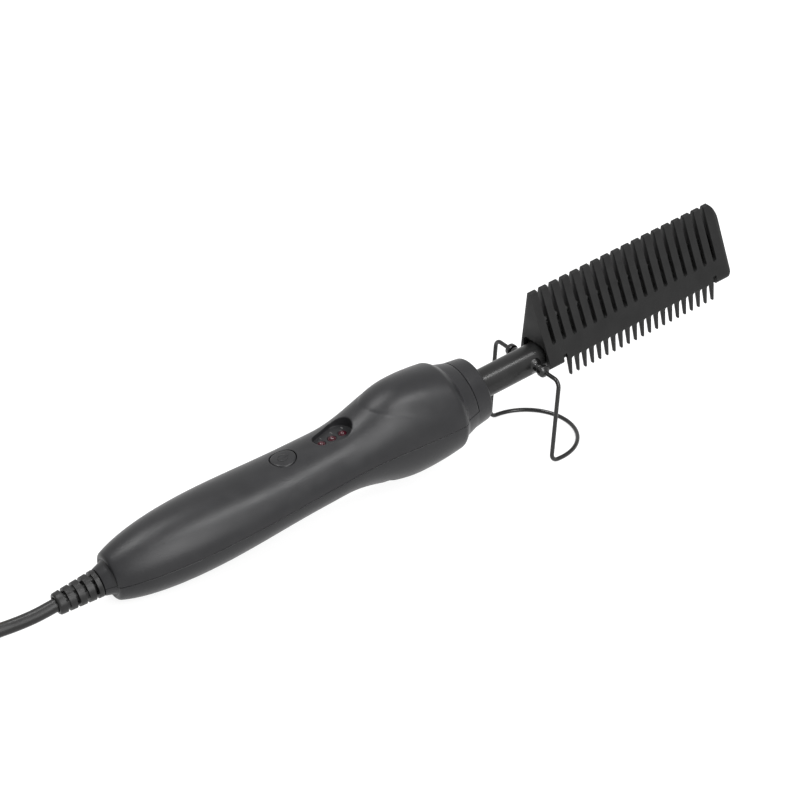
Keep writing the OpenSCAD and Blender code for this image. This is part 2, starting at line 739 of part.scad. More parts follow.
module comb_head() {
  color("#1c1c1e") stood() difference() {
    intersection() {
      translate([head_back, 0, 0]) rotate([90, 0, 90])
        linear_extrude(height = head_length) wedge_outline();
      translate([0, head_width, 0]) rotate([90, 0, 0])
        linear_extrude(height = 2 * head_width) side_outline();
    }
    // slots between the wide teeth
    for (i = [0 : slot_count - 1]) translate([first_slot + i * slot_pitch, 0, 0]) {
      block([-slot_width / 2, -head_width, slot_floor + slot_width / 2],
        [slot_width / 2, head_width, head_top + cut]);
      translate([0, 0, slot_floor + slot_width / 2]) rod_y(-head_width, head_width, slot_width / 2);
    }
    // hollow of the wedge
    translate([head_back + head_first_block - 0.6, 0, 0]) rotate([90, 0, 90])
      linear_extrude(height = head_length - head_first_block - 2.4) polygon([
        [-wedge_half(hollow_low) + head_wall, hollow_low],
        [wedge_half(hollow_low) - head_wall, hollow_low],
        [wedge_half(hollow_top) - head_wall, hollow_top],
        [-wedge_half(hollow_top) + head_wall, hollow_top]]);
    // saddle over the barrel, open below
    rod_x(head_back - cut, barrel_end + 1.5, barrel_r + fit);
    block([head_back - cut, -barrel_r - fit, -head_drop - cut],
      [barrel_end + 1.5, barrel_r + fit, 0]);
    // wider mouth round the barrel at the near end
    block([head_back - cut, -mouth_half, -head_drop - cut],
      [head_back + mouth_depth, mouth_half, mouth_top - mouth_round]);
    block([head_back - cut, -mouth_half + mouth_round, 0],
      [head_back + mouth_depth, mouth_half - mouth_round, mouth_top]);
    for (s = [-1, 1]) translate([0, s * (mouth_half - mouth_round), mouth_top - mouth_round])
      rod_x(head_back - cut, head_back + mouth_depth, mouth_round);
    // gap between the feet, and the grooves and notches of the two fine combs
    block([row_back, -head_width, -head_drop - cut], [row_front, head_width, fine_seat]);
    for (s = [-1, 1]) scale_y(s) {
      block([row_middle - row_half - fit, fine_plane - fit, -head_drop - cut],
        [row_middle + row_half + fit, fine_plane + tongue_thickness + fit, fine_seat + fine_bar + fit]);
      block([row_back, fine_plane, -head_drop - cut],
        [row_middle - row_half, head_width, notch_height]);
      block([row_middle + row_half, fine_plane, -head_drop - cut],
        [row_front, head_width, notch_height]);
    }
    for (x = head_screw_x) translate([x, 0, 0]) rod_z(0, slot_floor + head_screw_reach + 1,
      head_screw_r + fit);
  }
}

mouth_half = 7.6;
mouth_top = 7.0;
mouth_round = 3;
mouth_depth = 2;

module scale_y(s) {
  if (s > 0) children();
  else mirror([0, 1, 0]) children();
}

// one fine comb: a row of teeth under the wall, with a tongue that goes up into the head
module fine_comb(s) {
  root = fine_seat - fine_web;
  gap_r = (fine_pitch - fine_root) / 2;
  color("#1c1c1e") stood() scale_y(s) {
    block([row_middle - row_half, fine_plane, fine_seat],
      [row_middle + row_half, fine_plane + tongue_thickness, fine_seat + fine_bar]);
    translate([row_middle, fine_outer, 0]) rotate([90, 0, 0]) linear_extrude(height = fine_thickness)
      difference() {
        union() {
          translate([-row_half, root - gap_r]) square([2 * row_half, fine_web + gap_r]);
          for (i = [0 : fine_count - 1]) translate([(i - (fine_count - 1) / 2) * fine_pitch, 0])
            polygon([[-fine_root / 2, root], [-fine_tip / 2, root - fine_length],
              [fine_tip / 2, root - fine_length], [fine_root / 2, root]]);
        }
        for (i = [1 : fine_count - 1]) translate([(i - fine_count / 2) * fine_pitch, root - gap_r]) {
          circle(r = gap_r);
          translate([-gap_r, -gap_r - cut]) square([2 * gap_r, gap_r + cut]);
        }
      }
  }
}
module fine_comb_near() { fine_comb(-1); }
module fine_comb_far() { fine_comb(1); }

screw_cap_r = 1.9;  // heads of the head screws
screw_cap = 1.2;
screw_slot = 0.6;
module head_screws() {
  color("silver") stood() for (x = head_screw_x) translate([x, 0, 0]) difference() {
    union() {
      rod_z(-barrel_r, slot_floor + head_screw_reach, head_screw_r);
      rod_z(-barrel_r - screw_cap, -barrel_r, screw_cap_r);
    }
    block([-screw_cap_r - cut, -screw_slot / 2, -barrel_r - screw_cap - cut],
      [screw_cap_r + cut, screw_slot / 2, -barrel_r - screw_cap + screw_slot]);
  }
}

// ---- stand ------------------------------------------------------------------------

lug_r = lug_diameter / 2;
lug_out = 9.2;      // outer face of the lugs on the barrel
pin_in = 6.8;       // inner end of the stand's pins
ferrule_out = 12.8;
leg_y = leg_spread / 2;
bend_r = 3;         // bend of the wire at pivot and heel

module pivot_lugs() {
  color("#2a2a2c") stood() for (s = [-1, 1]) difference() {
    translate([pivot_at, 0, 0]) scale_y(s) difference() {
      rod_y(3, lug_out, lug_r);
      rod_y(pin_in - gap, lug_out + cut, wire_r + fit);
    }
    rod_x(pivot_at - lug_r - cut, pivot_at + lug_r + cut, barrel_r);
  }
}

module stand_ferrules() {
  color("#2a2a2c") stood() for (s = [-1, 1]) translate([pivot_at, 0, 0]) scale_y(s) difference() {
    union() {
      rod_y(lug_out + gap, lug_out + gap + 1.2, lug_r);
      rod_y(lug_out + gap + 1.2, ferrule_out - 1.4, lug_r - 0.5);
      rod_y(ferrule_out - 1.4, ferrule_out, lug_r);
    }
    rod_y(lug_out, ferrule_out + cut, wire_r);
  }
}

// half of the stand: pin, leg, heel and half of the bow, from the pivot to the middle
bow_steps = 14;
module stand_wire() {
  down = [cos(rest_tilt), 0, -sin(rest_tilt)];
  heel = [heel_x, 0, heel_z];
  toe = heel + foot_straight * down;
  half = concat(
    way([[pivot_at, pin_in, 0], [pivot_at, leg_y, 0], heel + [0, leg_y, 0], toe + [0, leg_y, 0]],
      bend_r),
    [for (i = [1 : bow_steps]) let (a = 90 * i / bow_steps)
      toe + leg_y * sin(a) * down + [0, leg_y * cos(a), 0]]);
  count = len(half);
  other = [for (i = [count - 2 : -1 : 0]) [half[i][0], -half[i][1], half[i][2]]];
  color("#1c1c1e") stood() tube(concat(half, other), wire_r, 12);
}

// ---- cord ends inside the handle ----------------------------------------------------

contact_back = handle_length - 11;
contact_front = contact_back - 11;
contact_half = 5.5;
boot_near = -handle_length - neck_length - 0.25;
boot_far = -tail_reach;
rib_pitch = 3.9;    // pitch of the strain relief's grooves
groove = 1.1;
web_half = 1.6;     // webs that join the strain relief's rings

module strain_relief() {
  color("#2c2c2e") stood() difference() {
    union() {
      rod_x(boot_far, boot_near, boot_small / 2, boot_r);
      rod_x(boot_near - cut, collar_x + collar_thickness, swivel_r);
    }
    rod_x(boot_far - cut, collar_x + collar_thickness + cut, cord_r + gap);
    for (i = [0 : 3]) translate([boot_near - 2 - i * rib_pitch, 0, 0]) {
      for (s = [-1, 1]) {
        if (i % 2 == 0) block([-groove, s > 0 ? web_half : -boot_r - cut, -boot_r - cut],
          [0, s > 0 ? boot_r + cut : -web_half, boot_r + cut]);
        else block([-groove, -boot_r - cut, s > 0 ? web_half : -boot_r - cut],
          [0, boot_r + cut, s > 0 ? boot_r + cut : -web_half]);
      }
      difference() {
        rod_x(-groove, 0, boot_r + cut);
        rod_x(-groove - cut, cut, boot_small / 2 - 0.3 * i / 3 - 0.2);
      }
    }
  }
}

module swivel_collar() {
  color("#d8d2c0") stood() difference() {
    rod_x(collar_x, collar_x + collar_thickness, collar_r);
    rod_x(collar_x - cut, collar_x + collar_thickness + cut, swivel_r);
  }
}

core_end = contact_back + 0.3 + 1.4;
module cord_core() {
  color("#202022") stood() {
    rod_x(boot_far + 1.5, -core_end, cord_r);
    rod_x(-core_end, -core_end + 1.4 - gap, 4);
  }
}

module contact_block() {
  color("#6a5a3a") stood()
    block([-contact_back + gap, -contact_half, -contact_half],
      [-contact_front, contact_half, contact_half]);
}

module supply_leads() {
  color("#303030") stood() for (s = [-1, 1])
    tube(way([[-contact_front, s * lead_y, 0], [-boss_back + 2, s * lead_y, 0],
      [-board_back + 3, s * lead_y, wire_z]], lead_bend / 3), lead_r, 8);
}

// ---- free cord, hank and plug ---------------------------------------------------------

// the spare length lies in a hank: an oval ring of cord, two strands wide and four high
hank_columns = 2;
hank_layers = 4;
hank_half = hank_columns * cord_r;
hank_top = hank_layers * cord_diameter;
hank_near = -186;   // end of the hank towards the comb
hank_x = hank_near - hank_bend - hank_half - hank_run / 2;
hank_y = 2 + hank_bend + cord_r;
tie_thickness = 0.8;
tie_width = 6;

// the cord's way on the ground plane z = 0, from the strain relief to the hank
cord_route = [[-159.2, 0, 8.7], [-163, 0.1, 7.9], [-167, 0.4, 7], [-171, 0.9, 6.2],
  [-175, 1.5, 5.6], [-179, 2.2, 5.1], [-184, 2.9, 4.7], [-190, 3.1, 4.1], [-197, 2.8, 3.4],
  [-204, 2.3, 2.9], [hank_x + hank_run / 2, 2, cord_r]];

module power_cord() {
  color("#202022") tube(cord_route, cord_r, 12);
}

module hank_ring(r, low, high) {
  for (s = [-1, 1]) translate([s * hank_run / 2, 0, 0]) rod_z(low, high, r);
  block([-hank_run / 2, -r, low], [hank_run / 2, r, high]);
}

module cord_hank() {
  color("#202022") translate([hank_x, hank_y, 0]) difference() {
    hank_ring(hank_bend + hank_half, 0, hank_top);
    hank_ring(hank_bend - hank_half, -cut, hank_top + cut);
    block([-tie_width / 2 - 0.1, -2 * hank_bend, -cut],
      [tie_width / 2 + 0.1, 2 * hank_bend, tie_thickness]);
  }
}

module hank_tie() {
  reach = hank_bend + hank_half;
  color("#151515") translate([hank_x, hank_y, 0]) difference() {
    block([-tie_width / 2, -reach - tie_thickness, 0],
      [tie_width / 2, reach + tie_thickness, hank_top + tie_thickness]);
    block([-tie_width, -reach, tie_thickness], [tie_width, reach, hank_top]);
  }
}

// the last stretch of cord goes round the hank's far bend on top of it, to the plug
plug_half = 5.7;    // half the thickness of the plug
plug_x = hank_x + 1.4;
plug_y = hank_y + 14.7;
plug_z = hank_top + plug_half;
lead_bend_r = hank_bend + 0.7;   // a little inside the outer strands
lead_z = hank_top + cord_r;
lead_route = concat([[hank_x - hank_run / 2 + 5, 2, lead_z]],
  [for (i = [0 : 12]) let (a = 15 * i) [hank_x - hank_run / 2 - lead_bend_r * sin(a),
    2 + lead_bend_r * (1 - cos(a)), lead_z]],
  [[plug_x - 21, plug_y + 3.9, lead_z + 0.2], [plug_x - 16, plug_y + 3, lead_z + 0.8],
   [plug_x - 11, plug_y + 1.7, lead_z + 1.7], [plug_x - 6, plug_y + 0.6, lead_z + 2.6],
   [plug_x - 3, plug_y, plug_z], [plug_x, plug_y, plug_z]]);

module plug_lead() {
  color("#202022") tube(lead_route, cord_r, 12);
}

plug_width = 22;
plug_length = 26;
plug_relief = 20;
plug_relief_r = 5.2;
blade_pitch = 12.7;
blade_length = 17;
blade_thickness = 1.5;
blade_height = 6.4;
module plug_body() {
  color("#202022") translate([plug_x, plug_y, plug_z]) {
    rod_x(0, plug_relief, cord_r + 0.8, plug_relief_r);
    block([plug_relief, -plug_width / 2, -plug_half],
      [plug_relief + plug_length, plug_width / 2, plug_half]);
  }
}

module plug_blades() {
  color("gold") translate([plug_x + plug_relief + plug_length, plug_y, plug_z])
    for (s = [-1, 1]) translate([0, s * blade_pitch / 2, 0])
      block([0, -blade_thickness / 2, -blade_height / 2],
        [blade_length, blade_thickness / 2, blade_height / 2]);
}

// ---- drawing ------------------------------------------------------------------------

upper_shell();
lower_shell();
power_button();
switch_body();
switch_plunger();
control_board();
lamp_holder();
lamp_1();
lamp_2();
lamp_3();
relay();
capacitor();
controller_chip();
board_screws();
shell_screws();
barrel_tube();
barrel_collar();
barrel_end_cap();
comb_head();
fine_comb_near();
fine_comb_far();
head_screws();
heater_core();
heat_spreader_upper();
heat_spreader_lower();
thermal_fuse();
temperature_sensor();
heater_leads();
sensor_leads();
supply_leads();
pivot_lugs();
stand_wire();
stand_ferrules();
strain_relief();
swivel_collar();
cord_core();
contact_block();
power_cord();
plug_lead();
cord_hank();
hank_tie();
plug_body();
plug_blades();
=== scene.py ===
"""Electric hot comb with a folding wire stand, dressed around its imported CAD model.

Sizes are millimetres along the barrel, as in the part's source: x = 0 is the nose of the
handle, the comb head is towards +x and the cord towards -x.  stood() tips such points onto
the stand's foot and the handle's belly, into the row frame and metres.
"""
import json
from math import acos, asin, atan2, cos, degrees, hypot, pi, radians, sin, sqrt, tan

import bmesh
import bpy
import numpy as np
from mathutils import Matrix, Vector


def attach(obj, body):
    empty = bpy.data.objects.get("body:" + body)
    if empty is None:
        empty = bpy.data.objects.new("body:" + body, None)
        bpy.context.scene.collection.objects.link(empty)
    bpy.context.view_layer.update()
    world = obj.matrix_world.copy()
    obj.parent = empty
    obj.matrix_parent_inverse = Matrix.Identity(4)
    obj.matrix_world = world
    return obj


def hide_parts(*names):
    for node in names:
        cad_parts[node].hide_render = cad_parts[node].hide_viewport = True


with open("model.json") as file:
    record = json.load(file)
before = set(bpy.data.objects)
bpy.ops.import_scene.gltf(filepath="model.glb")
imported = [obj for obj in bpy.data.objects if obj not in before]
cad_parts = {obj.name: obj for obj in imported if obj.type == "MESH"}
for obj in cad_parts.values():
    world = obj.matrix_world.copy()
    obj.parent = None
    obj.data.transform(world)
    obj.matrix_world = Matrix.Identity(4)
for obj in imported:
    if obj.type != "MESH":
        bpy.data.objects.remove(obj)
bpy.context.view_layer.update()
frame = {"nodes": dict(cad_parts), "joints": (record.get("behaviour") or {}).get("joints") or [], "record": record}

MM = 0.001

# ---- sizes of the part ----

# handle: its length, its widths and heights, and how far behind the nose they are reached
HANDLE_LENGTH = 171.3
TAIL_WIDTH, TAIL_HEIGHT = 17.8, 19.6
PALM_WIDTH, PALM_HEIGHT = 34.2, 30.0
WAIST_WIDTH, WAIST_HEIGHT = 31.0, 26.4
SHOULDER_WIDTH, SHOULDER_HEIGHT = 38.4, 38.2
BULGE_HEIGHT = 43.0
VALLEY_DIAMETER, SEAM_DIAMETER, NOSE_DIAMETER = 33.2, 29.4, 27.4
RING_LENGTH = 7.6
SHELL_WALL = 2.2
TAIL_LIP = 1.2
PALM_W_AT, PALM_H_AT = 118, 134
WAIST_W_AT, WAIST_H_FRONT, WAIST_H_BACK = 62, 71, 86
BULGE_AT, SHOULDER_AT, VALLEY_AT = 36, 17.2, 13.8
TAIL_W_POWER, TAIL_H_POWER = 2.05, 2.3
BULGE_POWER, SHOULDER_POWER = 1.8, 1.5

# barrel, comb head and fine combs
BARREL_R, BARREL_WALL = 6.2, 0.7
BARREL_SHOWING, BARREL_TAIL = 32.2, 44

SLOT_COUNT, SLOT_PITCH, SLOT_WIDTH, SLOT_FLOOR = 17, 5.4, 2.0, 7.4
HEAD_FIRST_BLOCK, HEAD_LAST_BLOCK = 3.6, 6.1
HEAD_TOP, HEAD_DROP, TIP_THICKNESS, HEAD_WIDTH = 30.9, 2.6, 1.9, 22.0
CROWN_RADIUS, CROWN_START, HEAD_WALL, EDGE_ROUND = 11, 8, 1.9, 2
MOUTH_HALF, MOUTH_TOP, MOUTH_ROUND, MOUTH_DEPTH = 7.6, 7.0, 3, 2

FINE_COUNT, FINE_PITCH, FINE_LENGTH = 21, 3.84, 8.3
FINE_ROOT, FINE_TIP, FINE_THICKNESS = 2.0, 1.0, 1.4
FINE_BAR, FINE_SEAT, FINE_WEB = 2.4, -0.4, 0.6
FOOT_NEAR, FOOT_FAR = 7.1, 8.4
TONGUE_THICKNESS, NOTCH_HEIGHT = 0.6, 1.7

# button, lamps and their panel
BUTTON_AT, BUTTON_R, BUTTON_PROUD, CROWN_FACE_R = 90.2, 5.3, 0.1, 20
BUTTON_HOLE_R = 5.55
LAMP_AT, LAMP_PITCH, LAMP_R, LAMP_HOLE_R = 67.6, 5.0, 1.5, 1.8
HOLDER_TOP = 7.6
PANEL_FLOOR, PANEL_R, PANEL_SMALL_R, PANEL_RUN, PANEL_PAD = 10.6, 6, 3.5, 8, 1.8
PANEL_AT = LAMP_AT - 3.1

# stand
PIVOT_AT, PIN_IN, LUG_R, LUG_OUT, FERRULE_OUT = 27.8, 6.8, 2.6, 9.2, 12.8
WIRE_R, WIRE_BEND, LEG_LENGTH, LEG_LEAN, LEG_Y, FOOT_STRAIGHT = 0.9, 3, 37.2, 12.7, 21.4, 3.4

# tail, strain relief, and what is inside the handle
NECK_LENGTH, NECK_ROOT, BOOT_LENGTH, BOOT_R, BOOT_SMALL_R = 4.2, 7.0, 18.4, 5.65, 4.4
SWIVEL_R, COLLAR_R, COLLAR_X, COLLAR_THICKNESS = 4.2, 7.0, -HANDLE_LENGTH + 2, 2.5
RIB_PITCH, GROOVE, WEB_HALF = 3.9, 1.35, 1.6
CAVITY_BACK, CAVITY_FRONT = HANDLE_LENGTH - 6.5, VALLEY_AT + 0.6
BOSS_R, BOSS_Y, BOSS_AT, HEAD_SEAT = 4.2, 8, (HANDLE_LENGTH - 28.3, 50), 6
UPPER_BOSS_R, BORE_BEYOND = BOSS_R - 1, 1
POST_R, POST_Y, POST_BORE_R, POST_BORE = 2.6, 6.5, 1.05, 7
BOARD_TOP, BOARD_LOW = 4.6, 3.0
POST_AT = (BOSS_AT[0] - BOSS_R - 10.8, BOSS_AT[1] + BOSS_R + 7.8)
RIB_AT, RIB_THICKNESS, HOLDER_R = (31, 43), 2.5, 10
NOSE_FACE, NOSE_HOLLOW, RING_ROUND = 3, 11, 1.2
SCREW_R, SCREW_HEAD_R, SCREW_HEAD, SCREW_REACH = 1.4, 2.5, 2, 7
CONTACT_BACK, CONTACT_FRONT, CONTACT_HALF = HANDLE_LENGTH - 11, HANDLE_LENGTH - 22, 5.5
HEAD_SCREW_R, HEAD_SCREW_CAP_R, HEAD_SCREW_CAP, HEAD_SCREW_REACH = 1.0, 1.9, 1.2, 6
FIT, GAP, CUT = 0.05, 0.3, 0.5

HEAD_LENGTH = HEAD_FIRST_BLOCK + SLOT_COUNT * SLOT_PITCH - (SLOT_PITCH - SLOT_WIDTH) + HEAD_LAST_BLOCK
HEAD_END = BARREL_SHOWING + HEAD_LENGTH
BARREL_END = HEAD_END - 6
FIRST_SLOT = BARREL_SHOWING + HEAD_FIRST_BLOCK + SLOT_WIDTH / 2
HEAD_SCREWS = [(FIRST_SLOT + slots * SLOT_PITCH, 0, 0) for slots in (0.5, SLOT_COUNT - 1.5)]
BOSSES = [(-d, s * BOSS_Y, 0) for d in BOSS_AT for s in (-1, 1)]
POSTS = [(-d, s * POST_Y, 0) for d in POST_AT for s in (-1, 1)]
TAIL_REACH = HANDLE_LENGTH + NECK_LENGTH + BOOT_LENGTH

# the cord lies in the row frame already: its route on the ground, its hank and its plug
CORD_R = 2.7
HANK_RUN, HANK_BEND, HANK_COLUMNS, HANK_LAYERS = 50, 20, 2, 4
HANK_NEAR, HANK_SIDE = -186, 2
HANK_HALF, HANK_TOP = HANK_COLUMNS * CORD_R, 2 * HANK_LAYERS * CORD_R
HANK_X = HANK_NEAR - HANK_BEND - HANK_HALF - HANK_RUN / 2
HANK_Y = HANK_SIDE + HANK_BEND + CORD_R
CORD_ROUTE = [[-159.2, 0, 8.7], [-163, 0.1, 7.9], [-167, 0.4, 7], [-171, 0.9, 6.2],
              [-175, 1.5, 5.6], [-179, 2.2, 5.1], [-184, 2.9, 4.7], [-190, 3.1, 4.1],
              [-197, 2.8, 3.4], [-204, 2.3, 2.9], [HANK_X + HANK_RUN / 2, HANK_SIDE, CORD_R]]
TIE_THICK, TIE_WIDTH = 0.8, 6
PLUG_HALF, PLUG_LENGTH, PLUG_RELIEF, PLUG_RELIEF_R = 5.7, 26, 20, 5.2
PLUG_X, PLUG_Y, PLUG_Z = HANK_X + 1.4, HANK_Y + 14.7, HANK_TOP + PLUG_HALF
LEAD_BEND, LEAD_Z = HANK_BEND + 0.7, HANK_TOP + CORD_R
LEAD_END = [[PLUG_X - 21, PLUG_Y + 3.9, LEAD_Z + 0.2], [PLUG_X - 16, PLUG_Y + 3, LEAD_Z + 0.8],
            [PLUG_X - 11, PLUG_Y + 1.7, LEAD_Z + 1.7], [PLUG_X - 6, PLUG_Y + 0.6, LEAD_Z + 2.6],
            [PLUG_X - 3, PLUG_Y, PLUG_Z], [PLUG_X, PLUG_Y, PLUG_Z]]
BLADE_PITCH, BLADE_LENGTH, BLADE_THICK, BLADE_HIGH = 12.7, 17, 1.5, 6.4

# ---- the comb's resting place ----

joints = {j["name"]: j for j in frame["joints"]}
press_axis = joints["button_press"]["axis"]
TILT = atan2(press_axis[0], -press_axis[2])
TURN = np.array([[cos(TILT), 0, -sin(TILT)], [0, 1, 0], [sin(TILT), 0, cos(TILT)]])
PLACE = np.array(joints["stand_fold"]["pos_m"]) - TURN @ [PIVOT_AT * MM, 0, 0]


def stood(points):
    """Millimetres along the barrel as metres in the row frame."""
    return np.asarray(points, float) @ TURN.T * MM + PLACE


def on_ground(points):
    """Millimetres in the row frame as metres."""
    return np.asarray(points, float) * MM


# ---- profile of the handle, at distance d behind the nose ----

def smooth(t):
    """0 before 0, 1 after 1 and smooth in between."""
    u = min(max(t, 0), 1)
    return u * u * (3 - 2 * u)


def fade(t, span):
    """0 before the span, 1 after it and smooth in between."""
    return smooth((t - span[0]) / (span[1] - span[0]))


def ease(t):
    """The same with a cosine."""
    u = min(max(t, 0), 1)
    return (1 - cos(pi * u)) / 2


def mix(a, b, t):
    return a + (b - a) * t


def bow(s, r, power):
    """A superellipse that falls from 1 to r while s goes from 0 to 1."""
    reach = (1 - r ** power) ** (1 / power)
    return (1 - (s * reach) ** power) ** (1 / power)


def lip_inset(d):
    """How far the rounded rim of the tail draws the skin in."""
    e = HANDLE_LENGTH - d
    return 0 if e >= TAIL_LIP else TAIL_LIP - sqrt(max(0, TAIL_LIP ** 2 - (TAIL_LIP - e) ** 2))


def shoulder_drop(d, size):
    """Width or height between the shoulder, the valley and the seam of the ring."""
    if d >= VALLEY_AT:
        fall = (SHOULDER_AT - d) / (SHOULDER_AT - VALLEY_AT)
        return mix(size, VALLEY_DIAMETER, max(0, fall) ** SHOULDER_POWER)
    return mix(SEAM_DIAMETER, VALLEY_DIAMETER, (d - RING_LENGTH) / (VALLEY_AT - RING_LENGTH))


def half_width(d):
    """Half the handle's width at distance d."""
    if d >= PALM_W_AT:
        tail = (d - PALM_W_AT) / (HANDLE_LENGTH - PALM_W_AT)
        size = PALM_WIDTH * bow(tail, TAIL_WIDTH / PALM_WIDTH, TAIL_W_POWER)
    elif d >= WAIST_W_AT:
        size = mix(WAIST_WIDTH, PALM_WIDTH, smooth((d - WAIST_W_AT) / (PALM_W_AT - WAIST_W_AT)))
    elif d >= SHOULDER_AT:
        size = mix(SHOULDER_WIDTH, WAIST_WIDTH, smooth((d - SHOULDER_AT) / (WAIST_W_AT - SHOULDER_AT)))
    else:
        size = shoulder_drop(d, SHOULDER_WIDTH)
    return size / 2 - lip_inset(d)


def half_height(d):
    """Half its height there; above and below the middle plane it is the same."""
    if d >= PALM_H_AT:
        tail = (d - PALM_H_AT) / (HANDLE_LENGTH - PALM_H_AT)
        size = PALM_HEIGHT * bow(tail, TAIL_HEIGHT / PALM_HEIGHT, TAIL_H_POWER)
    elif d >= WAIST_H_BACK:
        size = mix(WAIST_HEIGHT, PALM_HEIGHT, smooth((d - WAIST_H_BACK) / (PALM_H_AT - WAIST_H_BACK)))
    elif d >= BULGE_AT:
        size = mix(BULGE_HEIGHT, WAIST_HEIGHT, smooth((d - BULGE_AT) / (WAIST_H_FRONT - BULGE_AT)))
    elif d >= SHOULDER_AT:
        back = (BULGE_AT - d) / (BULGE_AT - SHOULDER_AT)
        size = mix(BULGE_HEIGHT, SHOULDER_HEIGHT, back ** BULGE_POWER)
    else:
        size = shoulder_drop(d, SHOULDER_HEIGHT)
    return size / 2 - lip_inset(d)


def skin(d, y, inset=0):
    """Height of the handle's skin over its middle plane."""
    return (half_height(d) - inset) * sqrt(max(0, 1 - (y / (half_width(d) - inset)) ** 2))


# ---- mesh tools ----

def linked(name, data):
    """A new object in the scene."""
    ob = bpy.data.objects.new(name, data)
    bpy.context.scene.collection.objects.link(ob)
    return ob


def shape(points, faces):
    """A mesh object from points and faces, its faces turned outwards."""
    mesh = bpy.data.meshes.new("shape")
    mesh.from_pydata([tuple(p) for p in points], [], faces)
    bm = bmesh.new()
    bm.from_mesh(mesh)
    bmesh.ops.recalc_face_normals(bm, faces=bm.faces)
    bm.to_mesh(mesh)
    bm.free()
    return linked("shape", mesh)


def loft(rings, capped=True, looped=False):
    """A surface through rings of points; capped closes its ends, looped joins last to first."""
    n, m = len(rings[0]), len(rings)
    faces = []
    for i in range(m if looped else m - 1):
        a, b = i * n, (i + 1) % m * n
        faces += [(a + j, a + (j + 1) % n, b + (j + 1) % n, b + j) for j in range(n)]
    if capped and not looped:
        faces += [tuple(range(n)), tuple(range((m - 1) * n, m * n))]
    return shape([p for ring in rings for p in ring], faces)


AXIS_R = 0.05        # a turned profile that reaches its axis ends at this radius


def turned(profile, axis="x", at=(0, 0, 0), steps=64, looped=False):
    """A turned solid: profile is (distance along the axis, radius), capped or closed on itself."""
    rings = []
    for along, r in profile:
        ring = []
        for k in range(steps):
            u, v = r * cos(2 * pi * k / steps), r * sin(2 * pi * k / steps)
            p = {"x": (along, u, v), "y": (v, along, u), "z": (u, v, along)}[axis]
            ring.append(tuple(p[i] + at[i] for i in range(3)))
        rings.append(ring)
    return loft(rings, looped=looped)


def rod(axis, a, b, r, at=(0, 0, 0), steps=48):
    """A round rod of radius r from a to b along an axis."""
    return turned([(a, r), (b, r)], axis, at, steps)


def prism(outline, axis, a, b):
    """An outline drawn in the two other axes, in order, drawn out from a to b."""
    place = {"x": lambda p, h: (h, p[0], p[1]), "y": lambda p, h: (p[0], h, p[1]),
             "z": lambda p, h: (p[0], p[1], h)}[axis]
    return loft([[place(p, h) for p in outline] for h in (a, b)])


def arc(cx, cy, r, a, b, count):
    """Points on a circle round (cx, cy), from angle a to angle b."""
    return [(cx + r * cos(t), cy + r * sin(t)) for t in np.linspace(a, b, count)]


def circle(cx, cy, r, count=48):
    """A round outline that can be grown by a margin."""
    return lambda margin: arc(cx, cy, r + margin, 0, 2 * pi, count + 1)[:-1]


def rectangle(x0, y0, x1, y1):
    return [(x0, y0), (x1, y0), (x1, y1), (x0, y1)]


def block(a, b):
    """A box between its lowest and its highest corner."""
    return prism(rectangle(*a[:2], *b[:2]), "z", a[2], b[2])


def rounded(points, radii, steps=5, closed=True):
    """An outline, or an open route, with its corners rounded to radii."""
    out, n = [], len(points)
    for i, (p, r) in enumerate(zip(points, radii)):
        if r == 0 or (not closed and i in (0, n - 1)):
            out.append(tuple(p))
            continue
        p = np.array(p, float)
        u = np.array(points[i - 1]) - p
        v = np.array(points[(i + 1) % n]) - p
        u, v = u / hypot(*u), v / hypot(*v)
        half = acos(max(-1, min(1, u @ v))) / 2
        centre = p + (u + v) / hypot(*(u + v)) * r / sin(half)
        a, b = p + u * r / tan(half) - centre, p + v * r / tan(half) - centre
        whole = pi - 2 * half
        for k in range(steps + 1):
            t = whole * k / steps
            out.append(tuple(centre + (a * sin(whole - t) + b * sin(t)) / sin(whole)))
    return out


def sweep(route, r, sides):
    """A round tube along a route, its rings carried along without twisting."""
    route = [Vector(p) for p in route]
    rings, last = [], len(route) - 1
    across = None
    for i, p in enumerate(route):
        along = (route[min(i + 1, last)] - route[max(i - 1, 0)]).normalized()
        if across is None:
            across = Vector((0, 0, 1)) if abs(along.z) < 0.7 else Vector((1, 0, 0))
        across = (across - across.dot(along) * along).normalized()
        other = along.cross(across)
        rings.append([p + r * (cos(2 * pi * k / sides) * across + sin(2 * pi * k / sides) * other)
                      for k in range(sides)])
    return loft(rings)


def softened(points, parts):
    """A Catmull-Rom curve through points, with this many parts between each two."""
    p = [np.array(q, float) for q in points]
    p = [2 * p[0] - p[1]] + p + [2 * p[-1] - p[-2]]
    out = []
    for a, b, c, d in zip(p, p[1:], p[2:], p[3:]):
        for k in range(parts):
            t = k / parts
            out.append(0.5 * (2 * b + (c - a) * t + (2 * a - 5 * b + 4 * c - d) * t ** 2
                              + (3 * b - a - 3 * c + d) * t ** 3))
    return [q.tolist() for q in out + [p[-2]]]


def settle(ob):
    """Turns an object's modifiers into its mesh."""
    graph = bpy.context.evaluated_depsgraph_get()
    mesh = bpy.data.meshes.new_from_object(ob.evaluated_get(graph))
    old = ob.data
    ob.modifiers.clear()
    ob.data = mesh
    bpy.data.meshes.remove(old)
    return ob


def combine(ob, tools, how, solver):
    """The object after a boolean with each tool in turn; the tools are used up."""
    for tool in tools:
        step = ob.modifiers.new(how, "BOOLEAN")
        step.operation, step.solver, step.object = how, solver, tool
        settle(ob)
        bpy.data.objects.remove(tool)
    return ob


def cut(ob, *tools, solver="MANIFOLD"):
    return combine(ob, tools, "DIFFERENCE", solver)


def fused(ob, *tools, solver="MANIFOLD"):
    return combine(ob, tools, "UNION", solver)


